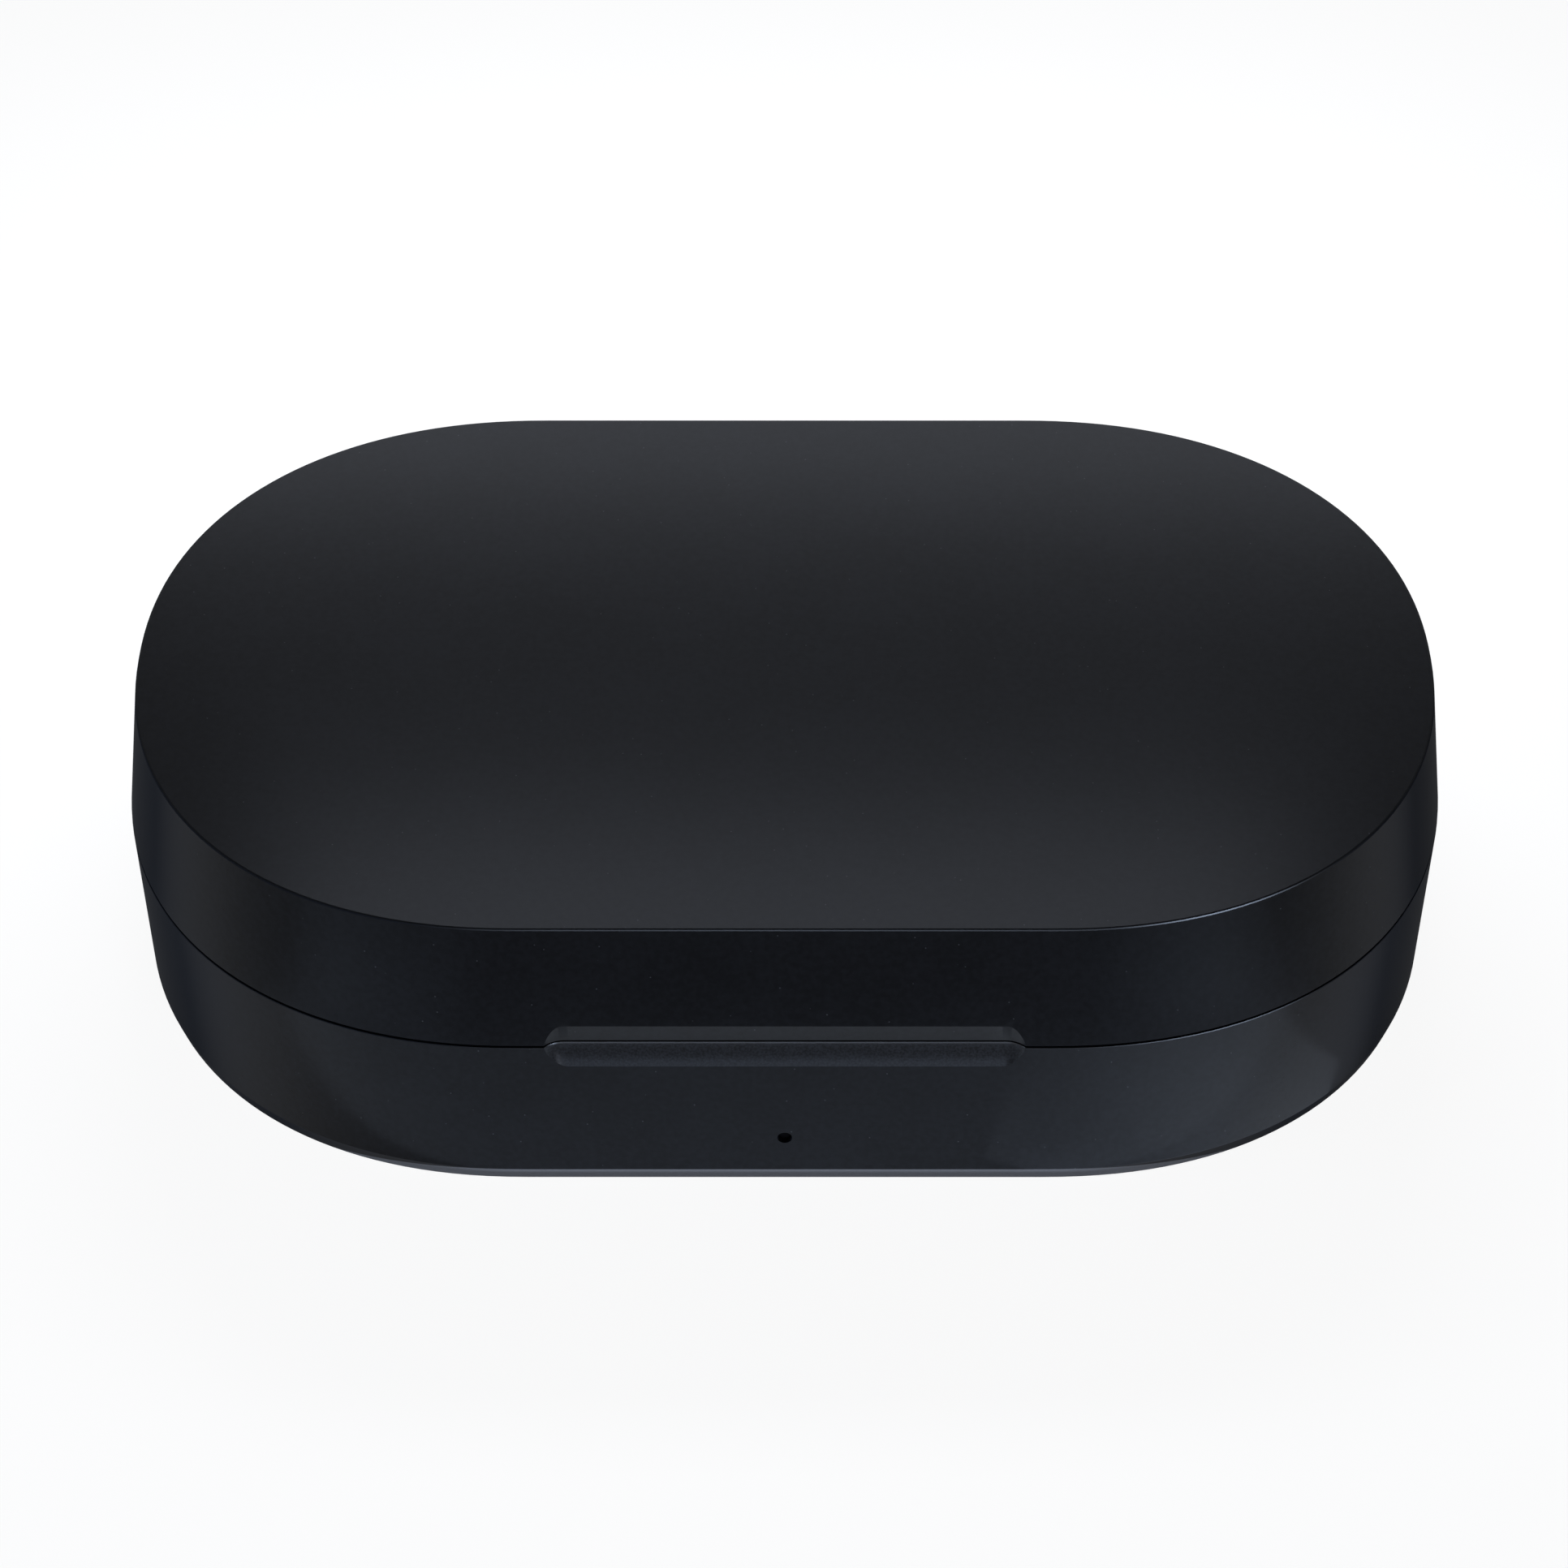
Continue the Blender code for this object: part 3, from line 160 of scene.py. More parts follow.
class HingeSizes(bpy.types.PropertyGroup):
    """Sizes of the hinge"""

    y: length_of("Axis place", HINGE_PLACE[1], "Place of the hinge axis, back from the middle of the case")
    z: length_of("Axis height", HINGE_PLACE[2], "Height of the hinge axis")
    barrel_length: length_of("Barrel length", 0.0154, "Length of the bracket's barrel")
    barrel_radius: length_of("Barrel radius", 0.00145, "Radius of the bracket's barrel")
    pin_bore: length_of("Pin bore", 0.00078, "Radius of the bores that the pin runs in")
    ear_length: length_of("Ear length", 0.0034, "Length of the lid's ears")
    ear_radius: length_of("Ear radius", 0.0013, "Radius of the lid's ears")
    neck_back: length_of("Neck back", 0.02295, "Place of the back of the bracket's neck")
    neck: length_of("Neck", 0.0014, "Thickness of the bracket's neck")
    flange_depth: length_of("Flange depth", 0.0062, "Depth of the bracket's flange")
    flange: length_of("Flange", 0.0012, "Thickness of the bracket's flange")
    screw_x: length_of("Screw spread", 0.0046, "Place of the screws out from the middle")
    screw_setback: length_of("Screw setback", 0.0032, "Distance from the neck forward to the screws")
    head_sink: length_of("Head sink", 0.00065, "Depth of the counterbore for a screw's head")
    edge: length_of("Edge", 0.00012, "Width of the bracket's softened edges")


class CradleSizes(bpy.types.PropertyGroup):
    """Sizes of the tray with its wells, and of the lid's lining"""

    top: length_of("Top", TRAY_HIGH.z, "Height of the tray's top")
    plate: length_of("Plate", 0.0012, "Thickness of the tray's plate")
    underside: length_of("Underside", TRAY_LOW.z, "Height of the underside of the wells")
    cup_floor: length_of("Cup floor", 0.001, "Thickness of the wells' floor")
    cup_wall: length_of("Cup wall", 0.001, "Thickness of the wells' walls")
    well_x: length_of("Well place", 0.02115, "Place of a well's middle, out from the middle of the case")
    well_half_length: length_of("Well half length", 0.01265, "Half the length of a well")
    well_half_width: length_of("Well half width", 0.01425, "Half the width of a well")
    squareness: number_of("Squareness", 2.3, "Power of the wells' outline, where 2 is an ellipse")
    draft: length_of("Draft", 0.0006, "How far a well's wall leans")
    floor_radius: length_of("Floor radius", 0.0028, "Radius between a well's floor and its wall")
    lip: length_of("Lip", 0.0006, "Radius of a well's upper edge")
    pocket_x: length_of("Pocket place", 0.0151, "Place of an ear tip's pocket, out from the middle")
    pocket_y: length_of("Pocket setback", 0.0115, "Place of an ear tip's pocket, back from the middle")
    pocket_radius: length_of("Pocket radius", 0.006, "Radius of an ear tip's pocket")
    block_height: length_of("Block height", 0.002, "Height of the block under the hinge bracket")
    block_border: length_of("Block border", 0.0012, "Border of the block round the hinge bracket")
    rest_gap: length_of("Rest gap", 0.0001, "Gap under a piece that rests on another")
    contact_x: length_of("Contact place", 0.01715, "Place of a contact block, out from the middle")
    contact_y: length_of("Contact setback", -0.0055, "Place of a contact block, back from the middle")
    contact_length: length_of("Contact length", 0.0056, "Length of a contact block")
    contact_width: length_of("Contact width", 0.0026, "Width of a contact block")
    pedestal: length_of("Pedestal", 0.0014, "Height of the pad round a contact block")
    pedestal_border: length_of("Pedestal border", 0.001, "Border of the pad round a contact block")
    liner_foot: length_of("Liner underside", LINER_LOW.z, "Height of the lining's underside")
    liner_plate: length_of("Liner plate", 0.001, "Thickness of the lining's plate")
    liner_top: length_of("Liner top", LINER_HIGH.z, "Height of the top of the lining's hollows")
    liner_wall: length_of("Liner wall", 0.0008, "Thickness of the lining's hollows")
    liner_inset: length_of("Liner inset", 0.0006, "How much smaller a lid hollow is than its well")


class FinishColours(bpy.types.PropertyGroup):
    """Colours of the finishes"""

    shell: colour_of("Shell", (0.0054, 0.0058, 0.0072), "Soft black of the shells")
    sheen: colour_of("Sheen", (0.845, 0.89, 1.0), "Tint of the shells' soft reflections")
    # Painted sheen: a paler flat tone that the shells show at a glancing angle in place of their reflection.
    painted_sheen: colour_of("Bloom", (0.0178, 0.0198, 0.0256), "Tone of the shells at a glancing angle")
    # Painted floor band: a paler grey painted on the bottom bevel that stands in for the shaded floor seen under
    # the edge.
    strip: colour_of("Strip", (0.128, 0.130, 0.143), "Paler grey along the bottom bevel")
    inner: colour_of("Inner", (0.0085, 0.0087, 0.0095), "Black of the tray, the lining and the hinge")
    steel: colour_of("Steel", (0.56, 0.56, 0.58), "Steel of screws, pin, springs and socket")
    nickel: colour_of("Nickel", (0.66, 0.64, 0.60), "Plating of the magnets")
    gold: colour_of("Gold", (0.83, 0.60, 0.26), "Plating of the contacts")
    board: colour_of("Board", (0.010, 0.070, 0.032), "Solder mask of the circuit board")
    chip: colour_of("Chip", (0.020, 0.020, 0.021), "Moulded plastic of the chips")
    ferrite: colour_of("Ferrite", (0.060, 0.058, 0.056), "Ferrite of the inductor")
    led: colour_of("LED", (0.85, 0.82, 0.62), "Package of the indicator LED")
    # Partly painted shade: smoked plastic darkened to near black so the indicator hole reads dark.
    pipe: colour_of("Light pipe", (0.002, 0.002, 0.0025), "Smoked plastic of the light pipe")
    film: colour_of("Cell film", (0.30, 0.31, 0.33), "Pouch film of the battery")
    foam: colour_of("Foam", (0.035, 0.035, 0.037), "Foam tape under the battery")
    red: colour_of("Red lead", (0.42, 0.018, 0.015), "Insulation of the positive lead")
    black: colour_of("Black lead", (0.015, 0.015, 0.015), "Insulation of the negative lead")
    speck: colour_of("Speck", (0.05, 0.052, 0.058), "Fine dust on the shells")
    shell_index: number_of("Shell index", 1.12, "Refractive index of the shells' soft coating")
    shell_roughness: factor_of("Shell roughness", 0.24, "Roughness of the shells' soft coating")
    scoop_index: number_of("Scoop index", 1.2, "Refractive index of the scoop's bare grain")
    edge_index: number_of("Edge index", 1.3, "Refractive index of the shells' polished edges")
    lip_index: number_of("Lip index", 1.42, "Refractive index of the base's polished lip in the scoop")


class StudioSettings(bpy.types.PropertyGroup):
    """Camera, light and floor of the studio"""

    lens: FloatProperty(
        name="Lens", description="Focal length of the camera", default=99.15, unit="CAMERA"
    )
    camera_back: length_of("Camera distance", 0.19893, "Distance of the camera in front of the case")
    camera_height: length_of("Camera height", 0.18805, "Height of the camera")
    pitch: FloatProperty(
        name="Pitch", description="How far the camera looks down", default=math.radians(41.893), unit="ROTATION"
    )
    yaw: FloatProperty(
        name="Yaw", description="How far the camera turns left", default=math.radians(0.014), unit="ROTATION"
    )
    floor_tone: factor_of("Floor", 0.5, "How much of the light the floor throws back at the case")
    floor_glow: factor_of("Floor glow", 0.92, "How white the floor looks in its shadows")
    world: factor_of("Surroundings", 0.0, "Light from the room")


def lid_inset(case, z):
    return case.lid_lean * (z - case.parting) / (case.top - case.parting)


def base_inset(case, z):
    if z > case.parting:
        return lid_inset(case, z)
    return case.base_lean * (case.parting - z) / case.parting


def seam_height(hinge, y, radius):
    """Height of a seam surface that is level at the front and turns up about the hinge axis at the back."""
    behind = max(y - hinge.y, 0)
    return hinge.z - math.sqrt(radius**2 - behind**2)


def rounded_power(value, squareness):
    return math.copysign(abs(value) ** (2 / squareness), value)


def outline_guides(case):
    """For each point round the case: its fixed x, and how x and y grow with the reach of an end."""
    guides = []
    for side in (1, -1):
        for step in range(END_STEPS + 1):
            angle = math.pi * (step / END_STEPS - 0.5)
            along = rounded_power(math.cos(angle), case.squareness)
            across = rounded_power(math.sin(angle), case.squareness)
            guides.append((side * case.straight_run / 2, side * along, side * across))
        for step in range(1, RUN_STEPS):
            guides.append((side * case.straight_run * (0.5 - step / RUN_STEPS), 0.0, side))
    return guides


def case_ring(case, inset, height):
    """Ring round the case. The inset may be a function of the height, and the height one of y."""
    reach_x = (case.length - case.straight_run) / 2
    reach_y = case.width / 2
    points = []
    for fixed_x, along, across in outline_guides(case):
        z = height(across * reach_y) if callable(height) else height
        drawn_in = inset(z) if callable(inset) else inset
        y = across * (reach_y - drawn_in)
        z = height(y) if callable(height) else height
        points.append((fixed_x + along * (reach_x - drawn_in), y, z))
    return points


def bowl_ring(centre, half_length, half_width, squareness, z):
    points = []
    for step in range(BOWL_STEPS):
        angle = 2 * math.pi * step / BOWL_STEPS
        x = centre[0] + half_length * rounded_power(math.cos(angle), squareness)
        y = centre[1] + half_width * rounded_power(math.sin(angle), squareness)
        points.append((x, y, z))
    return points


def quarter_turn(steps):
    return [math.pi / 2 * step / steps for step in range(steps + 1)]


def piece_from(name, bm):
    mesh = bpy.data.meshes.new(name)
    bmesh.ops.recalc_face_normals(bm, faces=bm.faces)
    bm.to_mesh(mesh)
    bm.free()
    piece = bpy.data.objects.new(name, mesh)
    bpy.context.scene.collection.objects.link(piece)
    return piece


def loft(name, rings, finishes=()):
    """Closed solid through rings. Each listed set of bands takes the next finish after the piece's first."""
    bm = bmesh.new()
    loops = [[bm.verts.new(point) for point in ring] for ring in rings]
    for band, (lower, upper) in enumerate(zip(loops, loops[1:])):
        for here in range(len(lower)):
            after = (here + 1) % len(lower)
            face = bm.faces.new((lower[here], lower[after], upper[after], upper[here]))
            face.material_index = next((i for i, bands in enumerate(finishes, 1) if band in bands), 0)
    bm.faces.new(reversed(loops[0]))
    bm.faces.new(loops[-1])
    return piece_from(name, bm)


def block(name, low, high, edge=0.0):
    """Box between two corners, with softened edges."""
    low, high = Vector(low), Vector(high)
    bm = bmesh.new()
    bmesh.ops.create_cube(bm, size=1)
    bmesh.ops.scale(bm, vec=high - low, verts=bm.verts)
    bmesh.ops.translate(bm, vec=(low + high) / 2, verts=bm.verts)
    if edge:
        bmesh.ops.bevel(bm, geom=bm.edges[:], offset=edge, segments=3, profile=0.5, affect="EDGES")
    return piece_from(name, bm)


def turned(name, profile, axis="Z", middle=(0, 0, 0), steps=ROUND_STEPS):
    """Round solid about an axis through a point, from (radius, place along the axis) points."""
    rings = []
    for radius, place in profile:
        ring = []
        for step in range(steps):
            angle = 2 * math.pi * step / steps
            u, v = radius * math.cos(angle), radius * math.sin(angle)
            offset = {"X": (place, u, v), "Y": (v, place, u), "Z": (u, v, place)}[axis]
            ring.append(Vector(middle) + Vector(offset))
        rings.append(ring)
    return loft(name, rings)


def rod(name, axis, middle, radius, start, end, edge=0.0):
    """Round bar along an axis through a point, from one place on the axis to another."""
    if not edge:
        return turned(name, [(radius, start), (radius, end)], axis, middle)
    profile = [(radius - edge, start), (radius, start + edge), (radius, end - edge), (radius - edge, end)]
    return turned(name, profile, axis, middle)


def combine(piece, tool, operation):
    """Cuts or joins a solid, whose faces bring its finish if it has one, and clears it away."""
    boolean = piece.modifiers.new(operation.lower(), "BOOLEAN")
    boolean.operation = operation
    boolean.solver = "EXACT"
    boolean.material_mode = "TRANSFER" if tool.data.materials else "INDEX"
    boolean.object = tool
    graph = bpy.context.evaluated_depsgraph_get()
    made = bpy.data.meshes.new_from_object(piece.evaluated_get(graph))
    piece.modifiers.clear()
    old = piece.data
    piece.data = made
    made.name = piece.name
    bpy.data.meshes.remove(old)
    spent = tool.data
    bpy.data.objects.remove(tool)
    bpy.data.meshes.remove(spent)
    if not made.polygons:
        raise RuntimeError(f"nothing is left of {piece.name}")


def cut(piece, tool):
    combine(piece, tool, "DIFFERENCE")


def join(piece, tool):
    combine(piece, tool, "UNION")


def soften(piece, width, angle):
    """Bevels the edges that are sharper than an angle."""
    bm = bmesh.new()
    bm.from_mesh(piece.data)
    bmesh.ops.dissolve_degenerate(bm, dist=0.000002, edges=bm.edges)
    chosen = [edge for edge in bm.edges if edge.is_manifold and edge.calc_face_angle() > angle]
    bevel = {"offset": width, "segments": 2, "profile": 0.5, "affect": "EDGES", "clamp_overlap": True}
    bmesh.ops.bevel(bm, geom=chosen, **bevel)
    bmesh.ops.dissolve_limit(bm, angle_limit=math.radians(0.1), verts=bm.verts, edges=bm.edges)
    bm.to_mesh(piece.data)
    bm.free()


def shade(piece, angle=math.radians(24)):
    """Smooth shading that keeps edges over an angle crisp and flat faces flat."""
    piece.data.shade_smooth()
    piece.data.set_sharp_from_angle(angle=angle)
    weighting = piece.modifiers.new("even shading", "WEIGHTED_NORMAL")
    weighting.keep_sharp = True


def dress(piece, node, finish=None):
    """Puts a fine piece in the place of a node of the model."""
    piece.name = "dressed_" + node
    if finish:
        piece.data.materials.append(finish)
    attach(piece, BODY_OF[node])
    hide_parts(node)


def paint(node, finish):
    """Gives a node of the model a finish, and leaves its shape as it is."""
    mesh = frame["nodes"][node].data
    mesh.materials.clear()
    mesh.materials.append(finish)


class Signal:
    """Output of a shader node that can be used in sums."""

    def __init__(self, finish, socket):
        self.finish = finish
        self.socket = socket

    def combined(self, operation, first, second):
        return self.finish.node("ShaderNodeMath", {"operation": operation}, {0: first, 1: second})

    def __add__(self, other):
        return self.combined("ADD", self, other)

    def __radd__(self, other):
        return self.combined("ADD", other, self)

    def __sub__(self, other):
        return self.combined("SUBTRACT", self, other)

    def __rsub__(self, other):
        return self.combined("SUBTRACT", other, self)

    def __mul__(self, other):
        return self.combined("MULTIPLY", self, other)

    def __rmul__(self, other):
        return self.combined("MULTIPLY", other, self)

    def __truediv__(self, other):
        return self.combined("DIVIDE", self, other)

    def __pow__(self, other):
        return self.combined("POWER", self, other)

    def __gt__(self, other):
        return self.combined("GREATER_THAN", self, other)

    def __lt__(self, other):
        return self.combined("LESS_THAN", self, other)

    def size(self):
        return self.finish.node("ShaderNodeMath", {"operation": "ABSOLUTE"}, {0: self})

    def ramp(self, start, end, low=0.0, high=1.0):
        """Smooth step from one value to another."""
        settings = {"interpolation_type": "SMOOTHSTEP"}
        sockets = {"Value": self, "From Min": start, "From Max": end, "To Min": low, "To Max": high}
        return self.finish.node("ShaderNodeMapRange", settings, sockets)


class Nodes:
    """Node tree of a material or world, whose nodes are added one call at a time."""

    def __init__(self, owner):
        owner.use_nodes = True
        self.tree = owner.node_tree

    def node(self, kind, settings, sockets, output=0):
        """Adds a node with its settings and its sockets' values or links, and returns one output."""
        made = self.tree.nodes.new(kind)
        for name, value in settings.items():
            setattr(made, name, value)
        self.feed(made, sockets)
        return Signal(self, made.outputs[output])

    def feed(self, node, sockets):
        for name, value in sockets.items():
            if isinstance(value, Signal):
                self.tree.links.new(value.socket, node.inputs[name])
            else:
                node.inputs[name].default_value = value

    def in_view(self):
        """1 for what the camera sees directly, mirrored or through something, and 0 for other rays."""
        kinds = ("Is Camera Ray", "Is Glossy Ray", "Is Transmission Ray")
        camera, glossy, transmitted = (self.node("ShaderNodeLightPath", {}, {}, kind) for kind in kinds)
        return camera + glossy + transmitted

    def mixed(self, share, first, second):
        return self.node("ShaderNodeMixShader", {}, {0: share, 1: first, 2: second})


class Finish(Nodes):
    """Material of a piece."""

    def __init__(self, name):
        self.material = bpy.data.materials.new(name)
        super().__init__(self.material)
        self.shader = self.tree.nodes["Principled BSDF"]
        self.output = self.tree.nodes["Material Output"]

    def place(self):
        return self.node("ShaderNodeTexCoord", {}, {}, "Object")

    def along(self, axis):
        return self.node("ShaderNodeSeparateXYZ", {}, {"Vector": self.place()}, axis)

    def noise(self, scale, detail=2.0):
        return self.node("ShaderNodeTexNoise", {}, {"Vector": self.place(), "Scale": scale, "Detail": detail})

    def blend(self, share, first, second):
        """Colour between two colours."""
        sockets = {"Factor": share, 6: opaque(first), 7: opaque(second)}
        return self.node("ShaderNodeMix", {"data_type": "RGBA"}, sockets, 2)

    def raise_by(self, height, distance, strength=1.0):
        """Bump of a height in metres."""
        sockets = {"Height": height, "Distance": distance, "Strength": strength}
        self.feed(self.shader, {"Normal": self.node("ShaderNodeBump", {}, sockets)})

    def surface(self, base_color, roughness, **others):
        """Feeds the shader and returns the material."""
        self.feed(self.shader, {"Base Color": base_color, "Roughness": roughness, **others})
        return self.material


def opaque(colour):
    return colour if isinstance(colour, Signal) else (*colour, 1.0)


def lighter(colour, share):
    return tuple(min(channel * share, 1.0) for channel in colour)


def dusty(finish, colour, speck):
    """Colour with slow mottling and a few fine specks of dust."""
    cloud = finish.noise(160, 3.0) * 0.4 + finish.noise(2600, 2.0) * 0.6
    mottled = finish.blend(cloud.ramp(0.3, 0.7), lighter(colour, 0.7), lighter(colour, 1.3))
    cells = {"Vector": finish.place(), "Scale": 1000.0}
    near = finish.node("ShaderNodeTexVoronoi", {}, cells, "Distance").ramp(0.025, 0.055, 1.0, 0.0)
    return finish.blend(near, mottled, speck)


def soft_coating(finish, colours, tone, roughness, index, dull=0.0, painted_sheen=None):
    """The shells' matte coating, which reflects faintly and swallows what strikes it at a glancing angle."""
    sheen = {"Specular Tint": opaque(colours.sheen)}
    finish.surface(base_color=tone, roughness=roughness, IOR=index, **sheen)
    coat = Signal(finish, finish.shader.outputs[0])
    # The glancing shader carries the painted sheen, a paler flat tone in place of the reflection.
    bare = {"Base Color": opaque(painted_sheen or colours.painted_sheen), "Roughness": 1.0, "Specular IOR Level": 0.0}
    matte = finish.node("ShaderNodeBsdfPrincipled", {}, bare)
    glancing = finish.node("ShaderNodeLayerWeight", {}, {"Blend": 0.5}, "Facing").ramp(0.45, 0.75, 0.0, 0.94)
    finish.feed(finish.output, {"Surface": finish.mixed(glancing + dull, coat, matte)})
    return finish.material


def shell_finish(colours):
    """Soft-touch black with a very fine grain."""
    finish = Finish("soft_black_shell")
    grain = finish.noise(7000, 2.0)
    finish.raise_by(grain, 0.000004, 0.2)
    tone = dusty(finish, colours.shell, colours.speck)
    roughness = grain * 0.06 + colours.shell_roughness - 0.03
    return soft_coating(finish, colours, tone, roughness, colours.shell_index)


def edge_finish(colours, index):
    """The shells' black where handling has polished its edges, which runs out on the rounded ends."""
    finish = Finish("polished_edge")
    grain = finish.noise(4000, 2.0)
    tone = finish.blend(grain, lighter(colours.shell, 0.8), lighter(colours.shell, 1.3))
    along = finish.along("X")
    # Towards both ends the edges lose their polish and show the painted sheen tone at any angle.
    dull = along.ramp(-0.024, -0.012, 1.0, 0.0) + along.ramp(0.029, 0.034)
    return soft_coating(finish, colours, tone, grain * 0.08 + 0.16, index, dull)


def painted_floor_band_finish(case, colours):
    """Paler line along the bottom bevel, which runs out on the rounded ends."""
    finish = Finish("bottom_line")
    past_run = finish.node(
        "ShaderNodeMath",
        {"operation": "MAXIMUM"},
        {0: finish.along("X").size() - case.straight_run / 2, 1: 0.0},
    )
    fade = past_run / 0.0122
    line = case.bevel_height * (1.0 - fade * fade)
    # Mask of the painted floor band, whose top drops towards the ends.
    shown = (line - finish.along("Z")).ramp(-0.00004, 0.00004)
    grain = finish.noise(5000, 2.0)
    finish.raise_by(grain, 0.000004, 0.2)
    pale = finish.blend(grain, lighter(colours.strip, 0.9), lighter(colours.strip, 1.1))
    tone = finish.blend(shown, dusty(finish, colours.shell, colours.speck), pale)
    painted_sheen = finish.blend(shown, colours.painted_sheen, pale)
    roughness = grain * 0.06 + colours.shell_roughness - 0.03
    return soft_coating(finish, colours, tone, roughness, colours.shell_index, painted_sheen=painted_sheen)


def scoop_finish(colours):
    """Bare moulded grain, for the base's half of the finger scoop."""
    finish = Finish("scoop_grain")
    grain = finish.noise(8000, 3.0)
    finish.raise_by(grain, 0.00001, 0.6)
    tone = finish.blend(grain.ramp(0.3, 0.7), lighter(colours.shell, 0.4), lighter(colours.shell, 2.6))
    return soft_coating(finish, colours, tone, grain * 0.1 + 0.26, colours.scoop_index)


def inner_finish(colours):
    """Matte moulded black inside the case."""
    finish = Finish("moulded_black")
    grain = finish.noise(4200, 3.0)
    finish.raise_by(grain, 0.00001, 0.6)
    mottled = finish.blend(finish.noise(200, 3.0), lighter(colours.inner, 0.85), lighter(colours.inner, 1.15))
    return finish.surface(base_color=mottled, roughness=grain * 0.14 + 0.46, IOR=1.36)


def metal_finish(name, colour, roughness, drawn_along):
    """Metal with fine tooling marks along one direction."""
    finish = Finish(name)
    stretch = {"X": (60, 9000, 9000), "Y": (9000, 60, 9000), "Z": (9000, 9000, 60)}[drawn_along]
    drawn = finish.node("ShaderNodeVectorMath", {"operation": "MULTIPLY"}, {0: finish.place(), 1: stretch})
    marks = finish.node("ShaderNodeTexNoise", {}, {"Vector": drawn, "Scale": 1.0, "Detail": 2.0})
    finish.raise_by(marks, 0.000003, 0.3)
    tone = finish.blend(marks, lighter(colour, 0.86), lighter(colour, 1.08))
    return finish.surface(base_color=tone, roughness=marks * 0.14 + roughness, Metallic=1.0)


def moulded_finish(name, colour, roughness, grain_scale=3000.0):
    """Plain moulded or coated material with a fine grain."""
    finish = Finish(name)
    grain = finish.noise(grain_scale, 3.0)
    finish.raise_by(grain, 0.000006, 0.5)
    tone = finish.blend(grain, lighter(colour, 0.85), lighter(colour, 1.15))
    return finish.surface(base_color=tone, roughness=grain * 0.12 + roughness)


def board_finish(colours):
    """Solder mask over copper tracks, whose edges show as a paler green."""
    finish = Finish("solder_mask")
    weave = {"Vector": finish.place(), "Scale": 700.0}
    cells = finish.node("ShaderNodeTexBrick", {"offset": 0.3}, {**weave, "Mortar Size": 0.03}, "Fac")
    finish.raise_by(cells, 0.00002, 0.5)
    tone = finish.blend(cells, colours.board, lighter(colours.board, 1.8))
    return finish.surface(base_color=tone, roughness=0.42)


def shaded_pipe_finish(colours):
    """Smoked plastic with a clean face."""
    finish = Finish("smoked_plastic")
    depth = finish.noise(900, 2.0)
    tone = finish.blend(depth, colours.pipe, lighter(colours.pipe, 1.6))
    return finish.surface(base_color=tone, roughness=0.4, IOR=1.04)


def sizes_of(context):
    scene = context.scene
    return scene.earcase_shells, scene.earcase_hinge, scene.earcase_cradle


def scoop_places(scoop):
    """Places along the scoop, close together at its rounded ends."""
    half = scoop.length / 2
    ends = [half - scoop.cove_end * step / SCOOP_END_STEPS for step in range(SCOOP_END_STEPS, 0, -1)]
    ends.append(half - scoop.cove_end * 0.01)
    return [-x for x in reversed(ends)] + ends


def scoop_shares(scoop, x):
    """Shares of their full size that the flank and the cove have at a place along the scoop."""
    from_tip = scoop.length / 2 - abs(x)
    return [(1 - max(1 - from_tip / end, 0) ** 2) ** 0.8 for end in (scoop.flank_end, scoop.cove_end)]


def scoop_tool(case, scoop, finish):
    """Bar in front of the case that dips into the shells: a flat flank above the parting line, a cove below."""
    flank_foot = lid_inset(case, case.parting + scoop.above)
    cove_foot = base_inset(case, case.parting - scoop.below)
    slope = (scoop.depth - flank_foot) / scoop.above
    bend = (scoop.depth - cove_foot - scoop.start * scoop.below) / scoop.below**2
    rings = []
    for x in scoop_places(scoop):
        flank, cove = scoop_shares(scoop, x)
        ring = [(flank_foot * flank, scoop.above * flank)]
        for step in range(SCOOP_STEPS + 1):
            drop = scoop.below * step / SCOOP_STEPS
            depth = scoop.depth - scoop.start * drop - bend * drop**2 - cove_foot
            ring.append((depth * flank + cove_foot * cove, -drop * cove))
        (first, top), (last, foot) = ring[0], ring[-1]
        top += SCOOP_CLEAR / slope
        foot -= SCOOP_CLEAR / (scoop.start + 2 * bend * scoop.below)
        ring = [(-CUT_MARGIN, top), (first - SCOOP_CLEAR, top), *ring]
        ring += [(last - SCOOP_CLEAR, foot), (-CUT_MARGIN, foot)]
        rings.append([(x, depth - case.width / 2, case.parting + rise) for depth, rise in ring])
    tool = loft("scoop_tool", rings)
    tool.data.materials.append(finish)
    return tool


def lip_tool(case, scoop, finish):
    """Bar along the parting line in the scoop, on its edge, which takes off both shells' sharp lips."""
    rings = []
    for x in scoop_places(scoop):
        flank, _ = scoop_shares(scoop, x)
        half = case.parting_gap / 2 + scoop.lip * flank
        y, z = scoop.depth * flank - case.width / 2, case.parting
        rings.append([(x, y - half, z), (x, y, z - half), (x, y + half, z), (x, y, z + half)])
    tool = loft("lip_tool", rings)
    tool.data.materials.append(finish)
    return tool


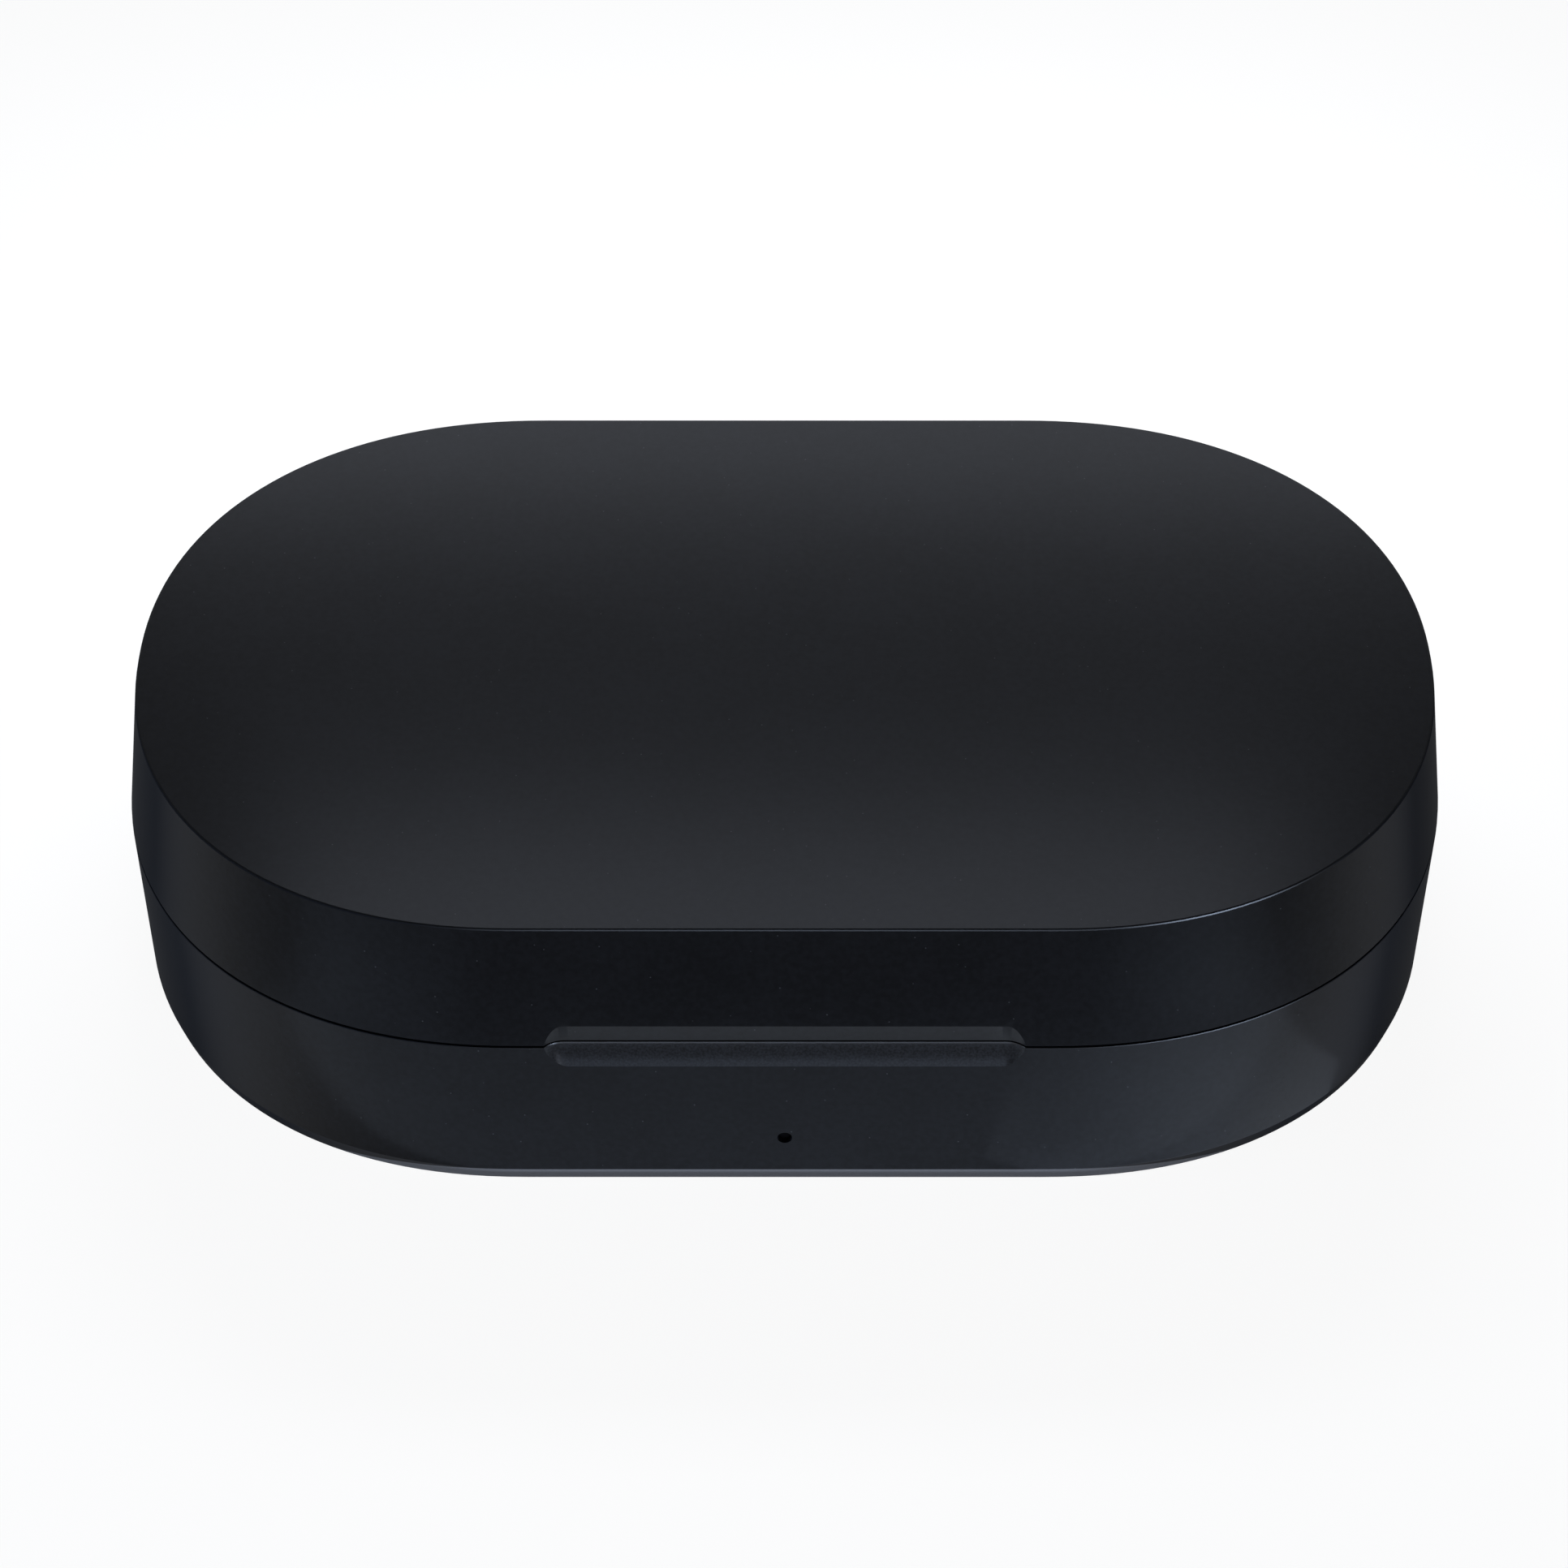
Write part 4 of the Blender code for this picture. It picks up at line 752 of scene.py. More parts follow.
class EARCASE_OT_lid(bpy.types.Operator):
    """Make the lid's outer shell"""

    bl_idname = "earcase.lid"
    bl_label = "Lid Shell"

    def execute(self, context):
        case, hinge, _ = sizes_of(context)
        scoop = context.scene.earcase_scoop
        colours = context.scene.earcase_colours
        black = shell_finish(colours)
        rings, edge_bands = self.rings(case, hinge)
        shell = loft("lid", rings, [edge_bands])
        edge = edge_finish(colours, colours.edge_index)
        for finish in (black, edge):
            shell.data.materials.append(finish)
        slot_half = hinge.barrel_length / 2 + case.fit_gap
        for name, side in SIDES:
            inner = side * (slot_half - CUT_MARGIN)
            outer = side * (slot_half + hinge.ear_length)
            ends = sorted((inner, outer))
            join(shell, rod(name + "_ear", "X", (0, hinge.y, hinge.z), hinge.ear_radius, *ends, 0.0001))
        low = (-slot_half, hinge.y - hinge.ear_radius - CUT_MARGIN, case.parting - 2 * CUT_MARGIN)
        slot_top = hinge.z + hinge.barrel_radius + case.fit_gap
        cut(shell, block("slot", low, (slot_half, case.width / 2 + CUT_MARGIN, slot_top)))
        reach = slot_half + hinge.ear_length + CUT_MARGIN
        cut(shell, rod("bore", "X", (0, hinge.y, hinge.z), hinge.pin_bore, -reach, reach))
        cut(shell, scoop_tool(case, scoop, black))
        cut(shell, lip_tool(case, scoop, edge))
        shade(shell, math.radians(12))
        dress(shell, "lid_shell")
        return {"FINISHED"}

    @staticmethod
    def rings(case, hinge):
        """Rings from the inside of the roof down the inner wall, round the foot and up to the top."""
        radius = hinge.z - case.parting - case.parting_gap / 2
        edge = case.seam_edge
        roof = case.top - case.roof
        shoulder = case.top - case.brow_drop - case.top_edge

        def wall_at(depth):
            return lambda z: lid_inset(case, z) + depth

        def above_seam(rise):
            return lambda y: seam_height(hinge, y, radius) + rise

        def up_wall(share):
            def height(y):
                foot = seam_height(hinge, y, radius) + edge
                return foot + (shoulder - foot) * share

            return height

        rings = [case_ring(case, wall_at(case.wall), roof)]
        rings.append(case_ring(case, wall_at(case.wall), above_seam(0.0003)))
        for step in range(4):
            depth = case.wall + (edge - case.wall) * step / 3
            rings.append(case_ring(case, wall_at(depth), above_seam(0)))
        for step in range(WALL_STEPS + 1):
            rings.append(case_ring(case, wall_at(0), up_wall(step / WALL_STEPS)))
        edge_band = len(rings) - 1
        drawn_in = lid_inset(case, shoulder) + case.top_edge
        rings.append(case_ring(case, drawn_in, shoulder + case.top_edge))
        rings.append(case_ring(case, drawn_in + case.brow, case.top))
        return rings, [edge_band]


class EARCASE_OT_base(bpy.types.Operator):
    """Make the base's outer shell"""

    bl_idname = "earcase.base"
    bl_label = "Base Shell"

    def execute(self, context):
        case, hinge, _ = sizes_of(context)
        scoop = context.scene.earcase_scoop
        colours = context.scene.earcase_colours
        rings, painted_floor_bands, edge_bands = self.rings(case, hinge)
        shell = loft("base", rings, [painted_floor_bands, edge_bands])
        edge = edge_finish(colours, colours.edge_index)
        for finish in (shell_finish(colours), painted_floor_band_finish(case, colours), edge):
            shell.data.materials.append(finish)
        cut(shell, scoop_tool(case, scoop, scoop_finish(colours)))
        cut(shell, lip_tool(case, scoop, edge_finish(colours, colours.lip_index)))
        front = -case.width / 2
        hole_end = front + case.wall + case.ledge + CUT_MARGIN
        hole_middle = (0, 0, case.indicator_height)
        cut(shell, rod("hole", "Y", hole_middle, case.indicator_radius, front - CUT_MARGIN, hole_end))
        self.cut_socket_mouth(shell, case)
        self.add_bosses(shell, case)
        shade(shell, math.radians(12))
        dress(shell, "base_shell")
        return {"FINISHED"}

    @staticmethod
    def rings(case, hinge):
        """Rings from the floor up the inner wall, over the rim and down to the underside."""
        radius = hinge.z - case.parting + case.parting_gap / 2
        edge = case.seam_edge

        def wall_at(depth):
            return lambda z: base_inset(case, z) + depth

        def below_seam(drop):
            return lambda y: seam_height(hinge, y, radius) - drop

        def down_wall(share):
            def height(y):
                top = seam_height(hinge, y, radius) - edge
                return top + (case.bevel_height - top) * share

            return height

        inner_foot = case.wall + case.ledge + case.base_lean
        rings = []
        for angle in quarter_turn(4):
            inset = inner_foot + case.floor_fillet * (1 - math.sin(angle))
            rings.append(case_ring(case, inset, case.floor + case.floor_fillet * (1 - math.cos(angle))))
        rings.append(case_ring(case, case.wall + case.ledge, case.ledge_height))
        rings.append(case_ring(case, case.wall, case.ledge_height))
        rings.append(case_ring(case, wall_at(case.wall), below_seam(0.0003)))
        for step in range(4):
            depth = case.wall + (edge - case.wall) * step / 3
            rings.append(case_ring(case, wall_at(depth), below_seam(0)))
        edge_band = len(rings) - 1
        for step in range(WALL_STEPS + 1):
            rings.append(case_ring(case, wall_at(0), down_wall(step / WALL_STEPS)))
        first_band = len(rings) - 1
        drawn_in = base_inset(case, case.bevel_height)
        foot = case.bottom_edge
        lean = case.bevel_depth / case.bevel_height
        rings.append(case_ring(case, drawn_in + lean * (case.bevel_height - foot), foot))
        drawn_in += lean * (case.bevel_height - foot)
        for angle in quarter_turn(3)[1:]:
            inset = drawn_in + foot * (1 - math.cos(angle))
            rings.append(case_ring(case, inset, foot * (1 - math.sin(angle))))
        last_band = len(rings) - 1
        rings.append(case_ring(case, drawn_in + 4 * foot, 0))
        return rings, range(first_band, last_band), [edge_band]

    @staticmethod
    def cut_socket_mouth(shell, case):
        low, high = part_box("socket_shell")
        gap = case.fit_gap
        middle = (low + high) / 2
        width, height = high.x - low.x + 2 * gap, high.z - low.z + 2 * gap
        reach = case.wall + case.ledge + CUT_MARGIN
        back = case.width / 2
        tool = loft("mouth", stadium_rings(middle, width, height, [(0, back - reach), (0, back + CUT_MARGIN)]))
        cut(shell, tool)

    @staticmethod
    def add_bosses(shell, case):
        for side_name, side in SIDES:
            for end_name in ("front", "back"):
                low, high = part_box(f"{side_name}_{end_name}_board_screw")
                middle = ((low.x + high.x) / 2, (low.y + high.y) / 2, 0)
                join(shell, rod("boss", "Z", middle, case.boss_radius, case.floor / 2, case.boss_top))
                cut(shell, rod("bore", "Z", middle, 0.0006, low.z - 0.0001, case.boss_top + CUT_MARGIN))


def stadium_rings(middle, width, height, stations):
    """Rings along Y with two straight sides and round ends, from (inset, y) pairs."""
    rings = []
    for inset, y in stations:
        radius = height / 2 - inset
        reach = width / 2 - height / 2
        ring = []
        for side in (1, -1):
            for step in range(25):
                angle = math.pi * (step / 24 - 0.5)
                x = side * (reach + radius * math.cos(angle))
                ring.append((middle[0] + x, y, middle[2] + side * radius * math.sin(angle)))
        rings.append(ring)
    return rings


def bowl(name, centre, half_length, half_width, squareness, stations):
    """Solid bowl from (inset, height) pairs."""
    rings = [
        bowl_ring(centre, half_length - inset, half_width - inset, squareness, z) for inset, z in stations
    ]
    return loft(name, rings)


def hollow_stations(cradle, floor, top, steps=8):
    """(inset, height) pairs up a rounded floor and a leaning wall."""
    radius = cradle.floor_radius
    stations = []
    for angle in quarter_turn(steps):
        inset = cradle.draft + radius * (1 - math.sin(angle))
        stations.append((inset, floor + radius * (1 - math.cos(angle))))
    stations.append((0, top))
    return stations


def lipped_stations(cradle, floor, top, steps=8):
    """The same, with an edge that rounds outwards just past the top."""
    lip = cradle.lip
    past = top + 0.00003
    stations = hollow_stations(cradle, floor, past - lip, steps)
    for angle in quarter_turn(6)[1:]:
        stations.append((-lip * (1 - math.cos(angle)), past - lip + lip * math.sin(angle)))
    stations.append((-lip - 0.0002, past + CUT_MARGIN))
    return stations


def well_forms(cradle):
    forms = []
    for name, side in SIDES:
        well = (side * cradle.well_x, 0)
        pocket = (side * cradle.pocket_x, cradle.pocket_y)
        radius = cradle.pocket_radius
        well_sizes = (cradle.well_half_length, cradle.well_half_width, cradle.squareness)
        forms.append((name + "_well", well, *well_sizes))
        forms.append((name + "_pocket", pocket, radius, radius, 2))
    return forms


def hinge_screw_places(hinge):
    y = hinge.neck_back - hinge.neck - hinge.screw_setback
    return [(name, side * hinge.screw_x, y) for name, side in SIDES]


class EARCASE_OT_cradle(bpy.types.Operator):
    """Make the tray with its wells"""

    bl_idname = "earcase.cradle"
    bl_label = "Cradle Tray"

    def execute(self, context):
        case, hinge, cradle = sizes_of(context)
        inset = case.wall + case.fit_gap
        foot = cradle.top - cradle.plate
        edge = 0.00015
        rings = [case_ring(case, inset, foot), case_ring(case, inset, cradle.top - edge)]
        for angle in quarter_turn(3)[1:]:
            drawn_in = inset + edge * (1 - math.cos(angle))
            rings.append(case_ring(case, drawn_in, cradle.top - edge + edge * math.sin(angle)))
        tray = loft("tray", rings)
        tray.data.materials.append(inner_finish(context.scene.earcase_colours))
        self.add_hinge_seat(tray, case, hinge, cradle)
        self.add_wells(tray, cradle)
        self.cut_hinge_seat(tray, case, hinge, cradle)
        for name, side in SIDES:
            self.add_pedestal(tray, case, cradle, name, side)
        shade(tray, math.radians(30))
        dress(tray, "cradle_tray")
        return {"FINISHED"}

    @staticmethod
    def add_hinge_seat(tray, case, hinge, cradle):
        half = hinge.barrel_length / 2 + case.fit_gap + cradle.block_border
        front = hinge.neck_back - hinge.neck - hinge.flange_depth - cradle.block_border
        foot = cradle.top - cradle.plate
        low = (-half, front, foot - cradle.block_height)
        high = (half, hinge.neck_back - hinge.neck, foot + cradle.plate / 2)
        join(tray, block("seat", low, high))

    @staticmethod
    def add_wells(tray, cradle):
        forms = well_forms(cradle)
        middle = cradle.top - cradle.plate / 2
        floor = cradle.underside + cradle.cup_floor
        for name, centre, half_length, half_width, squareness in forms:
            grown = (half_length + cradle.cup_wall, half_width + cradle.cup_wall, squareness)
            join(tray, bowl(name, centre, *grown, hollow_stations(cradle, cradle.underside, middle)))
        for name, centre, half_length, half_width, squareness in forms:
            stations = lipped_stations(cradle, floor, cradle.top)
            cut(tray, bowl(name, centre, half_length, half_width, squareness, stations))

    @staticmethod
    def cut_hinge_seat(tray, case, hinge, cradle):
        half = hinge.barrel_length / 2 + case.fit_gap
        front = hinge.neck_back - hinge.neck - hinge.flange_depth - case.fit_gap
        seat = cradle.top - hinge.flange - cradle.rest_gap
        cut(tray, block("recess", (-half, front, seat), (half, case.width / 2, cradle.top + CUT_MARGIN)))
        for name, x, y in hinge_screw_places(hinge):
            low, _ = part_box(name + "_hinge_screw")
            cut(tray, rod("bore", "Z", (x, y, 0), 0.0006, low.z - cradle.rest_gap, cradle.top))

    @staticmethod
    def add_pedestal(tray, case, cradle, name, side):
        """Raised pad in a well, with an opening that the contact block stands in."""
        middle = Vector((side * cradle.contact_x, cradle.contact_y, 0))
        half = Vector((cradle.contact_length / 2, cradle.contact_width / 2, 0))
        border = Vector((cradle.pedestal_border, cradle.pedestal_border, 0))
        gap = Vector((case.fit_gap, case.fit_gap, 0))
        floor = cradle.underside + cradle.cup_floor
        foot = Vector((0, 0, floor - cradle.cup_floor / 2))
        top = Vector((0, 0, floor + cradle.pedestal))
        join(tray, block(name, middle - half - border + foot, middle + half + border + top, 0.0003))
        foot.z = cradle.underside - CUT_MARGIN
        top.z += CUT_MARGIN
        cut(tray, block(name, middle - half - gap + foot, middle + half + gap + top))


class EARCASE_OT_lining(bpy.types.Operator):
    """Make the lid's lining with its two hollows"""

    bl_idname = "earcase.lining"
    bl_label = "Lid Lining"

    def execute(self, context):
        case, hinge, cradle = sizes_of(context)
        foot = cradle.liner_foot
        top = foot + cradle.liner_plate
        inset = case.wall + case.fit_gap + lid_inset(case, top)
        edge = 0.00015
        rings = []
        for angle in reversed(quarter_turn(3)):
            drawn_in = inset + edge * (1 - math.cos(angle))
            rings.append(case_ring(case, drawn_in, foot + edge - edge * math.sin(angle)))
        rings.append(case_ring(case, inset, top))
        lining = loft("lining", rings)
        lining.data.materials.append(inner_finish(context.scene.earcase_colours))
        half_length = cradle.well_half_length - cradle.liner_inset
        half_width = cradle.well_half_width - cradle.liner_inset
        for name, side in SIDES:
            centre = (side * cradle.well_x, 0)
            grown = (half_length + cradle.liner_wall, half_width + cradle.liner_wall, cradle.squareness)
            stations = upside_down(hollow_stations(cradle, foot + cradle.liner_plate / 2, cradle.liner_top))
            join(lining, bowl(name, centre, *grown, stations))
        for name, side in SIDES:
            centre = (side * cradle.well_x, 0)
            roof = cradle.liner_top - cradle.liner_wall
            stations = upside_down(lipped_stations(cradle, 0, roof - foot))
            stations = [(drawn_in, z + roof) for drawn_in, z in stations]
            cut(lining, bowl(name, centre, half_length, half_width, cradle.squareness, stations))
        half = hinge.barrel_length / 2 + case.fit_gap + hinge.ear_length + case.fit_gap
        notch = hinge.y - hinge.barrel_radius - 2 * case.fit_gap
        low, high = (-half, notch, foot - CUT_MARGIN), (half, case.width / 2, top + CUT_MARGIN)
        cut(lining, block("notch", low, high))
        shade(lining, math.radians(30))
        dress(lining, "lid_liner")
        return {"FINISHED"}


def upside_down(stations):
    """Stations turned over, between the heights that they span or below their own floor."""
    heights = [z for _, z in stations]
    if heights[0] == 0:
        return [(inset, -z) for inset, z in stations]
    return [(inset, heights[0] + heights[-1] - z) for inset, z in stations]


class EARCASE_OT_hinge(bpy.types.Operator):
    """Make the hinge bracket, its pin and all screws"""

    bl_idname = "earcase.hinge"
    bl_label = "Hinge and Screws"

    def execute(self, context):
        case, hinge, cradle = sizes_of(context)
        colours = context.scene.earcase_colours
        half = hinge.barrel_length / 2
        axis = (0, hinge.y, hinge.z)
        bracket = rod("bracket", "X", axis, hinge.barrel_radius, -half, half)
        bracket.data.materials.append(inner_finish(colours))
        foot = cradle.top - hinge.flange
        front = hinge.neck_back - hinge.neck
        join(bracket, block("neck", (-half, front, foot), (half, hinge.neck_back, hinge.z)))
        flange_low = (-half, front - hinge.flange_depth, foot)
        join(bracket, block("flange", flange_low, (half, hinge.neck_back, cradle.top)))
        for _, x, y in hinge_screw_places(hinge):
            seat = cradle.top - hinge.head_sink
            cut(bracket, rod("counterbore", "Z", (x, y, 0), 0.0012, seat, cradle.top + CUT_MARGIN))
            cut(bracket, rod("hole", "Z", (x, y, 0), 0.0006, foot - CUT_MARGIN, cradle.top + CUT_MARGIN))
        soften(bracket, hinge.edge, math.radians(40))
        cut(bracket, rod("bore", "X", axis, hinge.pin_bore, -half - CUT_MARGIN, half + CUT_MARGIN))
        shade(bracket, math.radians(30))
        dress(bracket, "hinge_bracket")
        low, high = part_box("hinge_pin")
        steel = metal_finish("drawn_steel", colours.steel, 0.22, "X")
        pin = rod("pin", "X", axis, (high.z - low.z) / 2, low.x, high.x, 0.00015)
        shade(pin)
        dress(pin, "hinge_pin", steel)
        head_finish = metal_finish("screw_steel", colours.steel, 0.26, "Y")
        for node in BODY_OF:
            if node.endswith("_screw"):
                dress(self.screw(node), node, head_finish)
        return {"FINISHED"}

    @staticmethod
    def screw(node):
        """Pan-head screw with a cross recess."""
        low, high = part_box(node)
        middle = ((low.x + high.x) / 2, (low.y + high.y) / 2, 0)
        head = (high.x - low.x) / 2
        shank = 0.0005
        seat = high.z - 0.0006
        profile = [(shank * 0.6, low.z), (shank, low.z + 0.0002), (shank, seat), (head, seat)]
        for angle in quarter_turn(4):
            crown = 0.0003
            profile.append((head - crown * (1 - math.cos(angle)), high.z - crown + crown * math.sin(angle)))
        profile.append((head * 0.4, high.z))
        screw = turned(node + "_turned", profile, "Z", middle, 48)
        for long_x, long_y in ((0.00062, 0.00013), (0.00013, 0.00062)):
            corner = Vector((long_x, long_y, 0))
            deep = Vector((*middle[:2], high.z - 0.00032))
            clear = Vector((*middle[:2], high.z + CUT_MARGIN))
            cut(screw, block("recess", deep - corner, clear + corner))
        shade(screw, math.radians(30))
        return screw


class EARCASE_OT_contacts(bpy.types.Operator):
    """Make the contact blocks, plungers and springs"""

    bl_idname = "earcase.contacts"
    bl_label = "Contacts"

    def execute(self, context):
        colours = context.scene.earcase_colours
        gold = metal_finish("gold_plate", colours.gold, 0.16, "Z")
        wire_steel = metal_finish("spring_wire", colours.steel, 0.25, "Z")
        black = inner_finish(colours)
        for side_name, _ in SIDES:
            names = [f"{side_name}_{which}" for which in ("inner", "outer")]
            holder = self.holder(side_name, names)
            dress(holder, side_name + "_contact_block", black)
            for name in names:
                plunger = self.plunger(name + "_plunger")
                dress(plunger, name + "_plunger", gold)
                self.add_spring(name, wire_steel)
        return {"FINISHED"}

    @staticmethod
    def middle_of(node):
        low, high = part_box(node)
        return Vector(((low.x + high.x) / 2, (low.y + high.y) / 2, 0))

    def holder(self, side_name, names):
        low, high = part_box(side_name + "_contact_block")
        holder = block(side_name + "_holder", low, high, 0.00012)
        cap_foot = high.z - 0.0004
        for name in names:
            middle = self.middle_of(name + "_plunger")
            cut(holder, rod("bore", "Z", middle, 0.00062, low.z - CUT_MARGIN, cap_foot))
            cut(holder, rod("neck", "Z", middle, 0.0005, cap_foot - 0.0002, high.z + CUT_MARGIN))
        shade(holder, math.radians(30))
        return holder

    def plunger(self, node):
        low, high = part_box(node)
        radius, flange = 0.0004, (high.x - low.x) / 2
        flange_top = low.z + 0.0005
        profile = [(flange - 0.00005, low.z), (flange, low.z + 0.00005), (flange, flange_top)]
        profile.append((radius, flange_top))
        for angle in quarter_turn(10)[:-1]:
            profile.append((radius * math.cos(angle), high.z - radius + radius * math.sin(angle)))
        plunger = turned(node + "_turned", profile, "Z", self.middle_of(node), 40)
        shade(plunger, math.radians(30))
        return plunger

    def add_spring(self, name, finish):
        """Helix that shortens as its plunger goes down."""
        node = name + "_spring"
        joint = next(joint for joint in frame["joints"] if joint["child"] == name + "_contact")
        low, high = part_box(node)
        wire = 0.00006
        coil = (high.x - low.x) / 2 - wire
        turns, turn_points = 4, 24
        middle = self.middle_of(name + "_plunger")
        curve = bpy.data.curves.new(node, "CURVE")
        curve.dimensions = "3D"
        curve.bevel_depth = wire
        curve.bevel_resolution = 2
        curve.use_fill_caps = True
        spline = curve.splines.new("POLY")
        count = turns * turn_points
        spline.points.add(count)
        for step, point in enumerate(spline.points):
            angle = 2 * math.pi * step / turn_points
            z = low.z + wire + (high.z - low.z - 2 * wire) * step / count
            point.co = (middle.x + coil * math.cos(angle), middle.y + coil * math.sin(angle), z, 1)
        guide = bpy.data.objects.new("spring_guide", curve)
        bpy.context.scene.collection.objects.link(guide)
        graph = bpy.context.evaluated_depsgraph_get()
        mesh = bpy.data.meshes.new_from_object(guide.evaluated_get(graph))
        bpy.data.objects.remove(guide)
        spring = bpy.data.objects.new(node + "_coil", mesh)
        bpy.context.scene.collection.objects.link(spring)
        mesh.materials.clear()
        mesh.shade_smooth()
        dress(spring, node, finish)
        travel = joint["range_m"][1]
        keep = 1 - travel / (high.z - low.z)
        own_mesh(spring)


class EARCASE_OT_socket(bpy.types.Operator):
    """Make the charging socket"""

    bl_idname = "earcase.socket"
    bl_label = "Charging Socket"

    def execute(self, context):
        colours = context.scene.earcase_colours
        low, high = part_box("socket_shell")
        middle = (low + high) / 2
        width, height = high.x - low.x, high.z - low.z
        skin, lip = 0.0003, 0.0001
        outer = [(0.0003, low.y), (0, low.y + 0.0003), (0, high.y - lip), (lip, high.y)]
        shell = loft("socket", stadium_rings(middle, width, height, outer))
        shell.data.materials.append(metal_finish("socket_steel", colours.steel, 0.24, "Y"))
        inner = [(skin, low.y + 0.0008), (skin, high.y - lip), (skin - lip, high.y + 0.00001)]
        inner.append((skin - lip, high.y + CUT_MARGIN))
        cut(shell, loft("hollow", stadium_rings(middle, width, height, inner)))
        shade(shell)
        dress(shell, "socket_shell")
        low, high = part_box("socket_tongue")
        tongue = block("tongue", low, high, 0.00012)
        tongue.data.materials.append(moulded_finish("socket_plastic", colours.chip, 0.42))
        shade(tongue)
        dress(tongue, "socket_tongue")
        self.add_pads(low, high, metal_finish("pad_gold", colours.gold, 0.2, "Y"))
        return {"FINISHED"}

    @staticmethod
    def add_pads(low, high, gold):
        """Row of contact pads on both faces of the tongue."""
        bm = bmesh.new()
        count, pitch, half_width, lift = 12, 0.0005, 0.00013, 0.00003
        for z in (low.z, high.z):
            for index in range(count):
                x = (index - (count - 1) / 2) * pitch
                made = bmesh.ops.create_cube(bm, size=1)["verts"]
                size = Vector((2 * half_width, 0.0032, 2 * lift))
                bmesh.ops.scale(bm, vec=size, verts=made)
                bmesh.ops.translate(bm, vec=(x, high.y - 0.0022, z), verts=made)
        pads = piece_from("socket_pads", bm)
        pads.data.materials.append(gold)
        shade(pads)
        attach(pads, BODY_OF["socket_tongue"])


class EARCASE_OT_indicator(bpy.types.Operator):
    """Make the light pipe behind the indicator hole"""

    bl_idname = "earcase.indicator"
    bl_label = "Indicator"

    def execute(self, context):
        low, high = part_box("light_pipe")
        middle = ((low.x + high.x) / 2, 0, (low.z + high.z) / 2)
        collar, tip = (high.x - low.x) / 2, 0.00038
        shoulder = high.y - 0.0014
        profile = [(tip - 0.00008, low.y), (tip, low.y + 0.00008), (tip, shoulder)]
        profile += [(collar, shoulder), (collar, high.y - 0.0001), (collar - 0.0001, high.y)]
        pipe = turned("pipe", profile, "Y", middle, 48)
        shade(pipe)
        dress(pipe, "light_pipe", shaded_pipe_finish(context.scene.earcase_colours))
        return {"FINISHED"}


class EARCASE_OT_electronics(bpy.types.Operator):
    """Finish the board, its parts, the battery and the magnets"""

    bl_idname = "earcase.electronics"
    bl_label = "Electronics"

    def execute(self, context):
        colours = context.scene.earcase_colours
        paint("main_board", board_finish(colours))
        chip = moulded_finish("chip_plastic", colours.chip, 0.50)
        for node in ("charger_chip", "controller_chip", "lid_sensor"):
            paint(node, chip)
        paint("power_inductor", moulded_finish("ferrite_grain", colours.ferrite, 0.62, 5000.0))
        paint("indicator_led", moulded_finish("led_resin", colours.led, 0.30))
        paint("battery_cell", metal_finish("pouch_film", colours.film, 0.30, "X"))
        paint("positive_lead", moulded_finish("red_insulation", colours.red, 0.40))
        paint("negative_lead", moulded_finish("black_insulation", colours.black, 0.40))
        nickel = metal_finish("nickel_plate", colours.nickel, 0.22, "X")
        for node in BODY_OF:
            if node.endswith("_magnet"):
                paint(node, nickel)
        self.add_pad(moulded_finish("foam_cells", colours.foam, 0.85, 6000.0))
        return {"FINISHED"}

    @staticmethod
    def add_pad(foam):
        """Foam tape under the cell, crowned between its edges."""
        low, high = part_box("battery_pad")
        middle = (low + high) / 2
        half = (high - low) / 2
        bm = bmesh.new()
        bmesh.ops.create_grid(bm, x_segments=22, y_segments=50, size=1)
        for vert in bm.verts:
            crown = (1 - vert.co.x**8) * (1 - vert.co.y**8)
            vert.co = (vert.co.x * half.x, vert.co.y * half.y, half.z * (0.5 + 0.5 * crown))
        under = bmesh.ops.duplicate(bm, geom=bm.verts[:] + bm.edges[:] + bm.faces[:])["geom"]
        for vert in under:
            if isinstance(vert, bmesh.types.BMVert):
                vert.co.z *= -1
        rims = [edge for edge in bm.edges if edge.is_boundary]
        bmesh.ops.bridge_loops(bm, edges=rims)
        bmesh.ops.translate(bm, vec=middle, verts=bm.verts)
        pad = piece_from("pad", bm)
        shade(pad)
        dress(pad, "battery_pad", foam)


